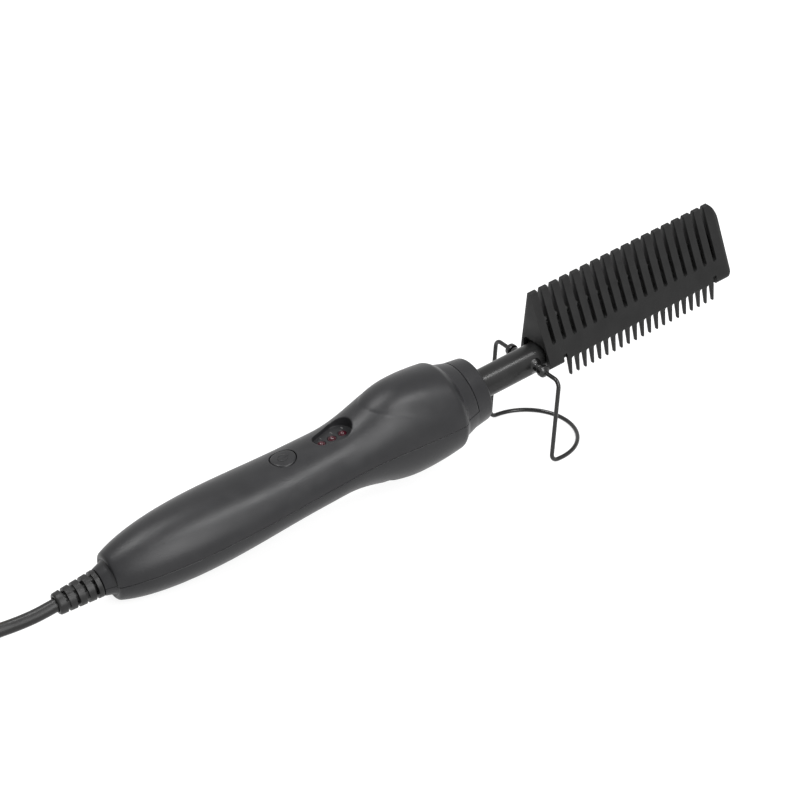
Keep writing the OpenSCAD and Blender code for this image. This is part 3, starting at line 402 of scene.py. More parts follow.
def common(ob, *tools, solver="MANIFOLD"):
    return combine(ob, tools, "INTERSECT", solver)


def together(*parts):
    """Separate meshes as one object."""
    bm = bmesh.new()
    for part in parts:
        bm.from_mesh(part.data)
    mesh = bpy.data.meshes.new("parts")
    bm.to_mesh(mesh)
    bm.free()
    for part in parts:
        bpy.data.objects.remove(part)
    return linked("parts", mesh)


def mirrored(ob):
    """The same shape on the other side of the middle plane y = 0."""
    mesh = ob.data.copy()
    mesh.transform(Matrix.Scale(-1, 4, (0, 1, 0)))
    mesh.flip_normals()
    return linked("mirror", mesh)


FLAT_ANGLE = 0.5     # faces that meet at less than this (degrees) are joined up before a bevel


def bevelled(ob, width, segments=2, angle=40):
    """Edges sharper than angle rounded off, after flat faces are joined up."""
    bm = bmesh.new()
    bm.from_mesh(ob.data)
    bmesh.ops.dissolve_limit(bm, angle_limit=radians(FLAT_ANGLE), verts=bm.verts, edges=bm.edges)
    bm.to_mesh(ob.data)
    bm.free()
    step = ob.modifiers.new("edges", "BEVEL")
    step.width, step.segments = width, segments
    step.limit_method, step.angle_limit = "ANGLE", radians(angle)
    return settle(ob)


# the record's material slot of each CAD node, and the finishes by name
node_slot = {part["node"]: part["material_slot"] for part in frame["record"]["subparts"]}
finishes = {}


def dressed(ob, name, *nodes, finish=None, body="handle", place=stood, sharp=35):
    """The finished piece: placed, shaded, riding on its body in place of CAD nodes, in the material
    of their slot or another finish."""
    ob.name = name
    ob.data.name = name
    count = len(ob.data.vertices)
    co = np.empty(count * 3)
    ob.data.vertices.foreach_get("co", co)
    ob.data.vertices.foreach_set("co", place(co.reshape(-1, 3)).ravel())
    ob.data.update()
    shaded(ob, finishes[finish or node_slot[nodes[0]]], sharp)
    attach(ob, body)
    if nodes:
        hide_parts(*nodes)
    return ob


def shaded(ob, material, sharp):
    """Gives a mesh its material and smooth shading, but for edges sharper than this (degrees)."""
    ob.data.polygons.foreach_set("use_smooth", [True] * len(ob.data.polygons))
    ob.data.set_sharp_from_angle(angle=radians(sharp))
    ob.data.materials.clear()
    ob.data.materials.append(material)


# ---- materials ----

DRIFT = (0.3, 0.7)       # the part of the noise's range over which colour and roughness change


def node(tree, kind, *sockets, **named):
    """A shader node: sockets are linked to its inputs in order, named inputs are linked or set."""
    made = tree.nodes.new("ShaderNode" + kind)
    for into, socket in zip(made.inputs, sockets):
        tree.links.new(socket, into)
    for name, value in named.items():
        into = made.inputs[name.replace("_", " ")]
        if isinstance(value, bpy.types.NodeSocket):
            tree.links.new(value, into)
        else:
            into.default_value = value
    return made


def rgba(colour):
    """A colour with its alpha; one number is a grey."""
    return (*colour, 1) if isinstance(colour, tuple) else (colour, colour, colour, 1)


def surface(name, dark, light, grain, rough, bump=None, specular=0.5, metallic=0):
    """Adds a finish: colour and roughness drift with a noise of size grain, and bump is the height
    and the grain of a finer noise, all in millimetres."""
    mat = bpy.data.materials.new(name)
    mat.use_nodes = True
    tree = mat.node_tree
    shader = tree.nodes["Principled BSDF"]
    shader.inputs["Specular IOR Level"].default_value = specular
    shader.inputs["Metallic"].default_value = metallic
    where = node(tree, "TexCoord").outputs["Object"]
    drift = node(tree, "TexNoise", Vector=where, Scale=1 / (grain * MM), Detail=4).outputs["Fac"]
    ramp = node(tree, "ValToRGB", Fac=drift)
    for stop, at, colour in zip(ramp.color_ramp.elements, DRIFT, (dark, light)):
        stop.position = at
        stop.color = rgba(colour)
    tree.links.new(ramp.outputs["Color"], shader.inputs["Base Color"])
    spread = node(tree, "MapRange", Value=drift, From_Min=DRIFT[0], From_Max=DRIFT[1],
                  To_Min=rough[0], To_Max=rough[1])
    tree.links.new(spread.outputs["Result"], shader.inputs["Roughness"])
    if bump:
        height, size = bump
        fine = node(tree, "TexNoise", Vector=where, Scale=1 / (size * MM), Detail=2)
        raised = node(tree, "Bump", Height=fine.outputs["Fac"], Distance=height * MM, Strength=1)
        tree.links.new(raised.outputs["Normal"], shader.inputs["Normal"])
    finishes[name] = mat


surface("handle_plastic", (0.0105, 0.0105, 0.0115), (0.0135, 0.0135, 0.0145), 7, (0.35, 0.41),
        bump=(0.045, 0.5), specular=0.26)
surface("button_plastic", (0.0095, 0.0095, 0.0105), (0.0125, 0.0125, 0.0135), 5, (0.34, 0.40),
        bump=(0.01, 0.4), specular=0.26)
surface("panel_print", 0.10, 0.16, 1, (0.5, 0.6))
surface("head_coating", 0.0095, 0.012, 6, (0.42, 0.50), bump=(0.014, 0.35), specular=0.16)
surface("black_steel", 0.007, 0.009, 8, (0.27, 0.32), specular=0.28)
surface("wire_steel", 0.004, 0.006, 4, (0.20, 0.26), specular=0.4)
surface("moulded_plastic", 0.009, 0.012, 4, (0.36, 0.42), bump=(0.01, 0.4), specular=0.24)
surface("cord_rubber", 0.008, 0.011, 9, (0.34, 0.40), bump=(0.006, 0.5), specular=0.26)
surface("tie_fabric", 0.006, 0.014, 0.6, (0.8, 0.9), bump=(0.06, 0.5), specular=0.2)
surface("lamp_red", (0.030, 0.002, 0.006), (0.048, 0.005, 0.011), 0.8, (0.12, 0.2), specular=0.4)
surface("board_green", (0.006, 0.055, 0.020), (0.010, 0.085, 0.030), 5, (0.3, 0.4), bump=(0.02, 0.8))
surface("black_component", 0.012, 0.018, 3, (0.4, 0.5), bump=(0.01, 0.3))
surface("blue_component", (0.012, 0.045, 0.21), (0.018, 0.06, 0.26), 3, (0.35, 0.45), bump=(0.01, 0.4))
surface("blackened_steel", 0.010, 0.015, 2, (0.40, 0.48), bump=(0.004, 0.2), specular=0.25)
surface("screw_steel", 0.38, 0.48, 2, (0.28, 0.38), bump=(0.004, 0.2), metallic=1)
surface("spreader_aluminium", 0.58, 0.68, 4, (0.36, 0.44), bump=(0.008, 0.4), metallic=1)
surface("ceramic", (0.70, 0.67, 0.58), (0.80, 0.77, 0.68), 3, (0.5, 0.6), bump=(0.02, 0.5))
surface("dark_ceramic", 0.012, 0.018, 3, (0.5, 0.6), bump=(0.02, 0.5))
surface("brass", (0.56, 0.40, 0.14), (0.68, 0.50, 0.20), 3, (0.26, 0.34), bump=(0.004, 0.3), metallic=1)
surface("sensor_bead", (0.10, 0.012, 0.010), (0.15, 0.022, 0.018), 1, (0.2, 0.3))
surface("lead_insulation", (0.50, 0.47, 0.42), (0.60, 0.57, 0.52), 3, (0.5, 0.6), bump=(0.03, 0.4))

# ---- camera ----

CAMERA_AT = (-0.43471, -0.64439, 0.51326)
CAMERA_TURN = (58.673, 1.0837, -34.414)
CAMERA_LENS = 102.684

camera = linked("camera", bpy.data.cameras.new("camera"))
camera.data.lens = CAMERA_LENS
camera.data.sensor_width = 36
camera.location = CAMERA_AT
camera.rotation_euler = [radians(a) for a in CAMERA_TURN]
camera.data.clip_start, camera.data.clip_end = 0.01, 20
bpy.context.scene.camera = camera

# ---- cord, hank, tie and plug ----

TURN_POINTS = 60
ROUND = 2 * HANK_RUN + 2 * pi * HANK_BEND     # once round the hank, in its middle
RUN_PART = HANK_RUN / ROUND
CLIMB = (0.128, 0.27)                         # where the last strand climbs on top, beyond the tie
MOVE_FROM, MOVE_PART = 0.175, 0.25            # the move before it, and how long each of these is


def round_hank(part, r):
    """Where a strand is this part of the way round, clockwise seen from above from the end of the
    near run; r is the radius of its bends."""
    half, part = divmod(part, 0.5)
    side = -1 if half == 0 else 1
    if part < RUN_PART:
        return HANK_X + side * HANK_RUN * (part / RUN_PART - 0.5), HANK_Y + side * r
    a = pi * (part - RUN_PART) / (0.5 - RUN_PART)
    return HANK_X + side * (HANK_RUN / 2 + r * sin(a)), HANK_Y + side * r * cos(a)


def hank_points():
    """Strands wound upwards, back and forth between the two columns: in each turn a strand moves on
    to the next place, and the one above it makes room first."""
    outside, inside = HANK_BEND + CORD_R, HANK_BEND - CORD_R
    places = []
    for layer in range(HANK_LAYERS):
        pair = (outside, inside) if layer % 2 == 0 else (inside, outside)
        places += [(r, (2 * layer + 1) * CORD_R) for r in pair]
    places.append((outside, LEAD_Z))
    last = len(places) - 2
    starts = [MOVE_FROM + (last - 1 - k) * MOVE_PART / 3 for k in range(last)]
    moves = [(a, a + MOVE_PART) for a in starts] + [CLIMB]
    points = []
    for step in range(1, TURN_POINTS * last + round(TURN_POINTS * RUN_PART) + 1):
        turn, here = divmod(step / TURN_POINTS, 1)
        turn = int(turn)
        a, b = moves[turn]
        t = ease((here - a) / (b - a))
        (r0, z0), (r1, z1) = places[turn], places[turn + 1]
        points.append([*round_hank(here, mix(r0, r1, t)), mix(z0, z1, t)])
    return points


def lead_points():
    """The last strand round the far bend, then up to the plug on top of the hank."""
    points = []
    for a in range(6, 181, 6):
        here = RUN_PART + (0.5 - RUN_PART) * a / 180
        climbed = ease((here - CLIMB[0]) / (CLIMB[1] - CLIMB[0]))
        points.append([HANK_X - HANK_RUN / 2 - LEAD_BEND * sin(radians(a)),
                       HANK_SIDE + LEAD_BEND * (1 - cos(radians(a))),
                       LEAD_Z - 2 * CORD_R * (1 - climbed)])
    return points + softened([points[-1]] + LEAD_END, 3)[1:]


cord_path = softened(CORD_ROUTE, 4) + hank_points() + lead_points()
cord = dressed(sweep(cord_path, CORD_R, 16), "flex", "power_cord", "cord_hank", "plug_lead",
               place=on_ground)

STRAP_ROUND, STRAP_UNDER, STRAP_EDGE = 2.2, 0.25, 0.18   # inner corners, thickness below, its edges
FREE_NEAR, FREE_FAR, FREE_NARROW, FREE_ROUND = 19, 2, 0.2, 0.35    # the strap's free end


def strap(grow, low):
    """Section of the tie round both runs of the hank."""
    reach = HANK_BEND + HANK_HALF + grow
    return rounded(rectangle(HANK_Y - reach, low, HANK_Y + reach, HANK_TOP + grow),
                   [STRAP_ROUND + grow / 2] * 4)


def strap_end():
    """The free end of the strap, lying on it."""
    low, half = HANK_TOP + TIE_THICK - 0.1, TIE_WIDTH / 2 - FREE_NARROW
    flat = rectangle(HANK_Y - FREE_NEAR, low, HANK_Y - FREE_FAR, low + TIE_THICK)
    return prism(rounded(flat, [FREE_ROUND] * 4), "x", HANK_X - half, HANK_X + half)


tie_loop = cut(prism(strap(TIE_THICK, 0), "x", HANK_X - TIE_WIDTH / 2, HANK_X + TIE_WIDTH / 2),
               prism(strap(0, STRAP_UNDER), "x", HANK_X - TIE_WIDTH, HANK_X + TIE_WIDTH))
tie = dressed(bevelled(together(tie_loop, strap_end()), STRAP_EDGE), "tie_strap", "hank_tie",
              finish="tie_fabric", place=on_ground)

# the plug's neck: distance from the lead and radius; its body: distance from the neck, half its
# width and height, and how square it is
PLUG_NECK = ((0, 3.2), (0.5, 3.5), (PLUG_RELIEF, PLUG_RELIEF_R))
PLUG_SWELL = ((0.0, 6.4, 5.25, 2.1), (1.6, 8.4, 5.5, 2.4), (4.0, 10.2, 5.65, 3), (7.5, 10.9, 5.7, 3.6),
              (12, 10.4, 5.55, 3.8), (17, 10.0, 5.45, 4), (22.6, 10.8, 5.7, 5), (24.4, 10.9, 5.7, 5.5),
              (25.5, 10.6, 5.4, 5.5), (26, 10.0, 4.8, 5.5))
RELIEF_SLOTS, RELIEF_FIRST, RELIEF_PITCH, RELIEF_SLOT, RELIEF_CORE, RELIEF_WEB = 4, 3, 4, 1.1, 2.95, 1.5


def plug_ring(along, half_w, half_h, power):
    """A rounded rectangle across the plug, at this distance beyond the end of the lead."""
    ring = []
    for k in range(64):
        a = 2 * pi * (k + 0.5) / 64
        c, s = cos(a), sin(a)
        ring.append((PLUG_X + along, PLUG_Y + half_w * abs(c) ** (2 / power) * (1 if c > 0 else -1),
                     PLUG_Z + half_h * abs(s) ** (2 / power) * (1 if s > 0 else -1)))
    return ring


def plug_shape():
    """The plug, its relief grooved on alternate sides."""
    rings = [plug_ring(along, r, r, 2) for along, r in PLUG_NECK]
    rings += [plug_ring(PLUG_RELIEF + along, w, h, power) for along, w, h, power in PLUG_SWELL]
    solid = loft(rings)
    for i in range(RELIEF_SLOTS):
        x = PLUG_X + RELIEF_FIRST + i * RELIEF_PITCH
        groove = turned(rectangle(x, RELIEF_CORE, x + RELIEF_SLOT, 8), "x", (0, PLUG_Y, PLUG_Z), 48,
                        looped=True)
        y, z = (9, RELIEF_WEB) if i % 2 else (RELIEF_WEB, 9)
        web = block((x - 1, PLUG_Y - y, PLUG_Z - z), (x + 2, PLUG_Y + y, PLUG_Z + z))
        solid = cut(solid, cut(groove, web))
    return solid


plug = dressed(plug_shape(), "plug_shell", "plug_body", place=on_ground)

BLADE_SUNK, BLADE_ROUND, BLADE_HOLE_R, BLADE_HOLE_IN, BLADE_EDGE = 2, 1.6, 1.6, 4, 0.25


def blade(side):
    """A flat blade of the plug, with a round hole near its end."""
    root = PLUG_X + PLUG_RELIEF + PLUG_LENGTH - BLADE_SUNK
    end = root + BLADE_LENGTH + BLADE_SUNK
    y = PLUG_Y + side * BLADE_PITCH / 2
    half, high = BLADE_THICK / 2, BLADE_HIGH / 2
    flat = rounded(rectangle(root, PLUG_Z - high, end, PLUG_Z + high), [0, BLADE_ROUND, BLADE_ROUND, 0])
    hole = rod("y", y - 2, y + 2, BLADE_HOLE_R, (end - BLADE_HOLE_IN, 0, PLUG_Z), 32)
    return bevelled(cut(prism(flat, "y", y - half, y + half), hole, solver="EXACT"), BLADE_EDGE)


blades = dressed(together(blade(-1), blade(1)), "plug_pins", "plug_blades", place=on_ground)

tuple(on_ground(CORD_ROUTE[0]))
on_ground(cord_path).tolist()

# ---- handle shells ----

EDGE = 0.24          # rounding of the shells' edges along their parting line
PART = 0.09          # half the hairline between them
BEYOND = 60          # further out than any part of the handle
ARC_STEPS = 150
TAIL_ROLL = [(0.5, 1.5), (0.42, 1.1), (0.2, 0.75), (0.0, 0.35)]   # depth and inset inside the rim
# distance behind the ring's seam and inset, where the upper half dips to it, and where that starts
SEAM_ROLL, SEAM_FROM = [(0.1, 0.12), (0.03, 0.3)], 0.3

CREASE_BACK, CREASE_RUN, CREASE_ANGLE, CREASE_POWER = 52, 15, 54, 2.38
HOOD_RISE, HOOD_REACH, CREASE_SOFT = 0.3, 4.2, 0.4
GROOVE_DEPTH, GROOVE_HALF = 0.14, 0.65    # the fine crease that goes on down both sides
DEGREE = 0.3             # length of a degree round the hood, roughly
HOOD_PART = (26, 60)     # distances behind the nose between which the hood changes the skin
HOOD_FINE = (60, 28)     # and between which the mesh is finest
STEP_BACK, STEP_HOOD, STEP_FRONT, STEP_NOSE = 1.1, 0.4, 0.9, 0.8    # spacing of its rings
# where, in shares of CREASE_ANGLE, the swelling fades out and the fine crease starts and ends
SWELL_FADE, GROOVE_START, GROOVE_END = (0.2, 0.95), (0.15, 0.35), (0.8, 1.2)


def hood(d, angle):
    """How far the skin rises from the plain handle at angle from the top (degrees): the hood over
    the lamps swells up ahead of a crease, which fades out down both sides."""
    side = abs(angle) / CREASE_ANGLE
    crease_at = CREASE_BACK - CREASE_RUN * side ** CREASE_POWER
    slope = CREASE_RUN * CREASE_POWER * side ** (CREASE_POWER - 1) / (CREASE_ANGLE * DEGREE)
    signed = (crease_at - d) / sqrt(1 + slope * slope)
    ahead = (signed + sqrt(signed * signed + CREASE_SOFT * CREASE_SOFT)) / 2
    swell = 1 - fade(side, SWELL_FADE)
    groove = fade(side, GROOVE_START) * (1 - fade(side, GROOVE_END))
    rise = swell * HOOD_RISE * (ahead / HOOD_REACH) * np.exp(1 - ahead / HOOD_REACH)
    return rise - groove * GROOVE_DEPTH * np.exp(-(signed / GROOVE_HALF) ** 2)


def half_ring(d, inset, side):
    """Half of a slice of the outside, with its rounded edges at the parting plane."""
    w, h = half_width(d) - inset, half_height(d) - inset
    edge = [(w - EDGE + EDGE * sin(t), PART + EDGE - EDGE * cos(t)) for t in (0, pi / 6, pi / 3)]
    first = asin((PART + EDGE) / h)
    ring = list(edge)
    for k in range(ARC_STEPS + 1):
        a = mix(first, pi - first, k / ARC_STEPS)
        y, z = w * cos(a), h * sin(a)
        if side > 0 and HOOD_PART[0] < d < HOOD_PART[1] and inset == 0:
            out = hood(d, degrees(pi / 2 - a))
            n = hypot(cos(a) / w, sin(a) / h)
            y += out * cos(a) / w / n
            z += out * sin(a) / h / n
        ring.append((y, z))
    ring += [(-y, z) for y, z in reversed(edge)]
    return [(-d, y, side * z) for y, z in ring]


def spaced(a, b, step):
    """Even steps from a to b, without a itself."""
    count = max(1, round(abs(b - a) / step))
    return [mix(a, b, i / count) for i in range(1, count + 1)]


def outer_half(side):
    """The upper (1) or lower (-1) half of the handle, solid, through rings at (distance, inset)."""
    stations = [(HANDLE_LENGTH - depth, TAIL_LIP + inset - lip_inset(HANDLE_LENGTH - depth))
                for depth, inset in TAIL_ROLL]
    stations += [(HANDLE_LENGTH - TAIL_LIP * (1 - cos(radians(a))), 0) for a in (0, 18, 36, 54, 72, 90)]
    back, front = HOOD_FINE
    for a, b, step in ((HANDLE_LENGTH - TAIL_LIP, back, STEP_BACK), (back, front, STEP_HOOD),
                       (front, SHOULDER_AT, STEP_FRONT)):
        stations += [(d, 0) for d in spaced(a, b, step)]
    stations += [(mix(SHOULDER_AT, VALLEY_AT, sin(radians(a))), 0) for a in range(9, 91, 9)]
    seam_from, roll = (SEAM_FROM, SEAM_ROLL) if side > 0 else (0, [])
    stations += [(d, 0) for d in spaced(VALLEY_AT, RING_LENGTH + seam_from, STEP_NOSE)]
    stations += [(RING_LENGTH + behind, inset) for behind, inset in roll]
    return loft([half_ring(d, inset, side) for d, inset in stations])


def inner_slice(d, inset, side, steps=48):
    """Half of a slice of the handle, drawn in by inset."""
    w, h = half_width(d) - inset, half_height(d) - inset
    return [(-d, w * cos(pi * k / steps), side * h * sin(pi * k / steps)) for k in range(steps + 1)]


def cavity(side):
    """The hollow inside a shell."""
    count = 70
    return loft([inner_slice(mix(CAVITY_BACK, CAVITY_FRONT, i / count), SHELL_WALL, side)
                 for i in range(count + 1)])


def half_of(ob, side):
    """What of ob lies on one side of the parting plane."""
    low, high = (PART, BEYOND) if side > 0 else (-BEYOND, -PART)
    return common(ob, block((-HANDLE_LENGTH - BEYOND, -BEYOND, low), (BEYOND, BEYOND, high)))


PANEL_NEAR = 1.2     # the panel's small end is this many times as wide on the near side


def panel_outline(margin):
    """Egg-shaped outline of the lamp panel, grown by a margin."""
    r, q = PANEL_R + margin, PANEL_SMALL_R + margin
    a = pi / 2 + asin((PANEL_R - PANEL_SMALL_R) / PANEL_RUN)
    big = arc(-PANEL_AT, 0, r, -a, a, 49)
    small = [(x, y * PANEL_NEAR if y < 0 else y)
             for x, y in arc(-PANEL_AT - PANEL_RUN, 0, q, a, 2 * pi - a, 33)]

    def between(p, q, count=8):
        return [(mix(p[0], q[0], i / count), mix(p[1], q[1], i / count)) for i in range(1, count)]

    return big + between(big[-1], small[0]) + small + between(small[-1], big[0])


# a rounding takes at most this share of a recess's depth; how far its cutter stands out, aside and up
ROUND_SHARE, LEAST_DEPTH, RIM_OUT, RIM_UP = 0.4, 0.05, 0.4, 0.3


def sunk(outline, floor, edge, side=1, floor_edge=0.0):
    """A cutter that goes down to floor, with the edge in the handle's skin rounded, and the edge
    round the floor too if floor_edge is given."""
    low = abs(floor)

    def ring(margin, height):
        return [(x, y, side * height(skin(-x, y))) for x, y in outline(margin)]

    def fitted(radius, s):
        """The radius, or less where the recess is shallow."""
        return min(radius, ROUND_SHARE * max(LEAST_DEPTH, s - low))

    def at_floor(a):
        return ring(-floor_edge * (1 - sin(a)), lambda s: low + fitted(floor_edge, s) * (1 - cos(a)))

    def at_skin(a):
        return ring(edge * (1 - cos(a)), lambda s: s - fitted(edge, s) * (1 - sin(a)))

    rings = [at_floor(radians(t)) for t in ((0, 30, 60, 90) if floor_edge else (90,))]
    rings += [at_skin(radians(t)) for t in (0, 20, 40, 60, 80)]
    rings += [ring(edge + RIM_OUT, lambda s: s + RIM_UP), ring(edge + RIM_OUT, lambda s: BEYOND / 2)]
    return loft(rings)


# the neck's rim, from its end and the boot's radius, and its flare, from its root and root radius
NECK_RIM = ((0, -0.35), (0.1, -0.1), (0.35, 0.06))
NECK_FLARE = ((-0.9, -0.35), (-0.2, -0.05), (0.2, 0.45), (0.5, 1.2), (3, 1.2))


def neck(side):
    """The neck of the tail, flared where it grows out of the end face."""
    end, root = -HANDLE_LENGTH - NECK_LENGTH, -HANDLE_LENGTH
    profile = [(end + along, BOOT_R + out) for along, out in NECK_RIM]
    profile += [(root + along, NECK_ROOT + out) for along, out in NECK_FLARE]
    return half_of(turned(profile, steps=96), side)


def tail_bores():
    """The bores in which the strain relief's sleeve and its collar turn."""
    sleeve = rod("x", -HANDLE_LENGTH - NECK_LENGTH - CUT, -CAVITY_BACK + CUT, SWIVEL_R + FIT, steps=64)
    chamber = rod("x", COLLAR_X - GAP, COLLAR_X + COLLAR_THICKNESS + GAP, COLLAR_R + GAP, steps=64)
    return [sleeve, chamber]


RIB_SUNK, NOSE_IN = 0.4, 1.5     # how far the ribs go into the wall, and the nose's bore into the ring


def rib(d, side):
    """Half of a rib across the handle, which holds the barrel's collar."""
    ends = [d + RIB_THICKNESS / 2, d - RIB_THICKNESS / 2]
    plate = loft([[(x, y, side * max(side * z, PART))
                   for x, y, z in inner_slice(e, SHELL_WALL - RIB_SUNK, side)] for e in ends])
    return cut(plate, rod("x", -d - RIB_THICKNESS, -d + RIB_THICKNESS, HOLDER_R + FIT, steps=64))


def reach(at, r):
    """How far a boss of radius r goes, into the handle's wall."""
    return skin(-at[0], abs(at[1]) + r) - CUT


PANEL_EDGE, KEY_EDGE, SCREW_EDGE = 0.3, 0.2, 0.35    # rounding round the recesses
LAMP_SINK = 0.2                                      # widening of the lamps' holes


def lamp_x(number):
    return -LAMP_AT + (number - 2) * LAMP_PITCH


def shell_half(side, hollow):
    """A shell with its hollow, its half of the neck and its ribs."""
    nose = rod("x", -CAVITY_FRONT - CUT, -RING_LENGTH + NOSE_IN, NOSE_HOLLOW, steps=64)
    shell = cut(outer_half(side), hollow, nose)
    return fused(shell, neck(side), *[rib(d, side) for d in RIB_AT])


def upper_shell():
    """The upper shell, with its lamp panel, the button's hole and the bosses for the screws."""
    pad = prism(panel_outline(PANEL_PAD), "z", PANEL_FLOOR - PANEL_PAD, BULGE_HEIGHT)
    shell = shell_half(1, cut(cavity(1), pad))
    for at in BOSSES:
        boss = rod("z", PART, reach(at, UPPER_BOSS_R), UPPER_BOSS_R, at)
        shell = cut(fused(shell, boss), rod("z", -CUT, SCREW_REACH + BORE_BEYOND, SCREW_R + FIT, at))
    shell = cut(shell, *tail_bores())
    shell = cut(shell, sunk(panel_outline, PANEL_FLOOR, PANEL_EDGE, floor_edge=PANEL_EDGE))
    shell = cut(shell, sunk(circle(-BUTTON_AT, 0, BUTTON_HOLE_R, 96), BOARD_TOP, KEY_EDGE))
    wide = LAMP_HOLE_R + LAMP_SINK
    hole = [(BOARD_TOP, LAMP_HOLE_R), (PANEL_FLOOR - LAMP_SINK, LAMP_HOLE_R), (PANEL_FLOOR + 0.02, wide),
            (PANEL_FLOOR + 1, wide)]
    for number in (1, 2, 3):
        shell = cut(shell, turned(hole, "z", (lamp_x(number), 0, 0), 48))
    return shell


SEAM_WIDTH, SEAM_DEPTH, SEAM_OVER, BORE_ROUND = 0.28, 0.35, 0.2, 0.4


def nose_ring():
    """The ring round the barrel, with the seam on its upper half."""
    bore, rim = BARREL_R + FIT, NOSE_DIAMETER / 2
    front = rounded([(-NOSE_FACE, bore), (0, bore), (0, rim), (-RING_LENGTH, SEAM_DIAMETER / 2),
                     (-RING_LENGTH, NOSE_HOLLOW), (-NOSE_FACE, NOSE_HOLLOW)],
                    [0, BORE_ROUND, RING_ROUND, 0, 0, 0], steps=8)
    ring = turned(front, steps=128, looped=True)
    over, under = SEAM_DIAMETER / 2 + SEAM_OVER, SEAM_DIAMETER / 2 - SEAM_DEPTH
    seam = turned([(-RING_LENGTH + SEAM_WIDTH, over), (-RING_LENGTH, under), (-RING_LENGTH - CUT, under),
                   (-RING_LENGTH - CUT, over)], steps=128, looped=True)
    return cut(ring, half_of(seam, 1))


def lower_shell():
    """The lower shell, with the seats of screws and contact block, the posts and the nose's ring."""
    shell = shell_half(-1, cavity(-1))
    seat = -reach((-CONTACT_BACK, CONTACT_HALF), 0)
    shell = fused(shell, block((-CONTACT_BACK, -CONTACT_HALF, seat),
                               (-CONTACT_FRONT, CONTACT_HALF, -CONTACT_HALF)))
    for at in BOSSES:
        shell = fused(shell, rod("z", -reach(at, BOSS_R), -PART, BOSS_R, at))
        shell = cut(shell, rod("z", -HEAD_SEAT - CUT, CUT, SCREW_R + FIT, at),
                    sunk(circle(*at[:2], SCREW_HEAD_R + GAP), -HEAD_SEAT, SCREW_EDGE, -1))
    for at in POSTS:
        shell = fused(shell, rod("z", -reach(at, POST_R), BOARD_LOW, POST_R, at))
        shell = cut(shell, rod("z", BOARD_LOW - POST_BORE, BOARD_LOW + CUT, POST_BORE_R, at, 32))
    shell = cut(shell, *tail_bores())
    return fused(shell, nose_ring())


dressed(upper_shell(), "shell_upper", "upper_shell")
dressed(lower_shell(), "shell_lower", "lower_shell")

# ---- button and lamps ----

FLANGE_OUT, FLANGE_THICK, FLANGE_ROOM = 1, 0.7, 1.2
BUTTON_FACE = ((5.3, 0.7), (5.24, 0.45), (5.1, 0.24), (4.9, 0.09), (4.65, 0.02), (4.4, 0.0), (3.9, 0.05),
               (3.2, 0.1), (2.4, 0.14), (1.2, 0.16), (0.3, 0.16))   # radius and depth under the crown
SIGN_R, SIGN_LINE, SIGN_OPEN = 2.0, 0.16, 32    # power sign: radius, half its stroke, half its opening
SIGN_STROKE = (0.5, 2.7)                        # where the stroke runs


def button_face(y):
    """Height of the button's crown, which is round across the handle."""
    return skin(BUTTON_AT, 0) + BUTTON_PROUD - (CROWN_FACE_R - sqrt(CROWN_FACE_R ** 2 - y * y))


def button():
    """A round key whose face follows the handle's back, with a rounded rim and a faint dish."""
    angles = np.linspace(0, 2 * pi, 96, endpoint=False)
    top = skin(BUTTON_AT, BUTTON_R + FLANGE_ROOM, SHELL_WALL) - GAP
    wide = BUTTON_R + FLANGE_OUT
    rings = [[(-BUTTON_AT + r * cos(a), r * sin(a), z) for a in angles]
             for r, z in ((wide, top - FLANGE_THICK), (wide, top), (BUTTON_R, top))]
    rings += [[(-BUTTON_AT + r * cos(a), r * sin(a), button_face(r * sin(a)) - down) for a in angles]
              for r, down in BUTTON_FACE]
    return loft(rings)


dressed(button(), "button_key", "power_button", finish="button_plastic", body="button")


def power_sign():
    """A raised ring that opens towards the head, with a stroke through the opening."""
    def on_face(x, y):
        depth = np.interp(hypot(x, y), [r for r, _ in reversed(BUTTON_FACE)],
                          [down for _, down in reversed(BUTTON_FACE)])
        return (-BUTTON_AT + x, y, button_face(y) - depth)

    ring = [on_face(SIGN_R * cos(a), SIGN_R * sin(a))
            for a in np.linspace(radians(SIGN_OPEN), 2 * pi - radians(SIGN_OPEN), 41)]
    stroke = [on_face(x, 0) for x in np.linspace(*SIGN_STROKE, 6)]
    return together(sweep(ring, SIGN_LINE, 8), sweep(stroke, SIGN_LINE, 8))


dressed(power_sign(), "power_sign", finish="button_plastic", body="button")

LENS_TOP, DOME_R, DOME_HIGH, LENS_FIT = 0.7, 1.25, 0.75, 0.12     # the top is over the panel's floor
LENS_EDGE = 0.1
FLANGE_R, FLANGE_HIGH = LAMP_R + 0.4, 1
MARK_AHEAD, MARK_ASIDE, MARK_SIZE, MARK_HALF = 1.6, 2.9, 1.7, 0.02


def lamp(number):
    """A lamp lens: a flat rim in the panel's hole and a low dome."""
    top, rim = PANEL_FLOOR + LENS_TOP, LAMP_R + LENS_FIT
    low = top - DOME_HIGH
    dome = [(low + DOME_HIGH * sin(radians(a)), DOME_R * cos(radians(a))) for a in range(0, 90, 10)]
    profile = [(HOLDER_TOP, FLANGE_R), (HOLDER_TOP + FLANGE_HIGH, FLANGE_R), (HOLDER_TOP + FLANGE_HIGH, rim),
               (low - LENS_EDGE, rim), (low, rim - LENS_EDGE)]
    return turned(profile + dome + [(top, AXIS_R)], "z", (lamp_x(number), 0, 0), 40)


def mark(number):
    """A plain number printed on the floor of the lamp panel, beside its lamp."""
    curve = bpy.data.curves.new("mark", "FONT")
    curve.body = str(number)
    curve.size = MARK_SIZE
    curve.align_x = curve.align_y = "CENTER"
    curve.extrude = MARK_HALF
    text = linked("mark", curve)
    bpy.context.view_layer.update()
    mesh = bpy.data.meshes.new_from_object(text)
    bpy.data.objects.remove(text)
    at = (lamp_x(number) + MARK_AHEAD, MARK_ASIDE, PANEL_FLOOR + MARK_HALF)
    mesh.transform(Matrix.Translation(at))
    return linked("mark", mesh)


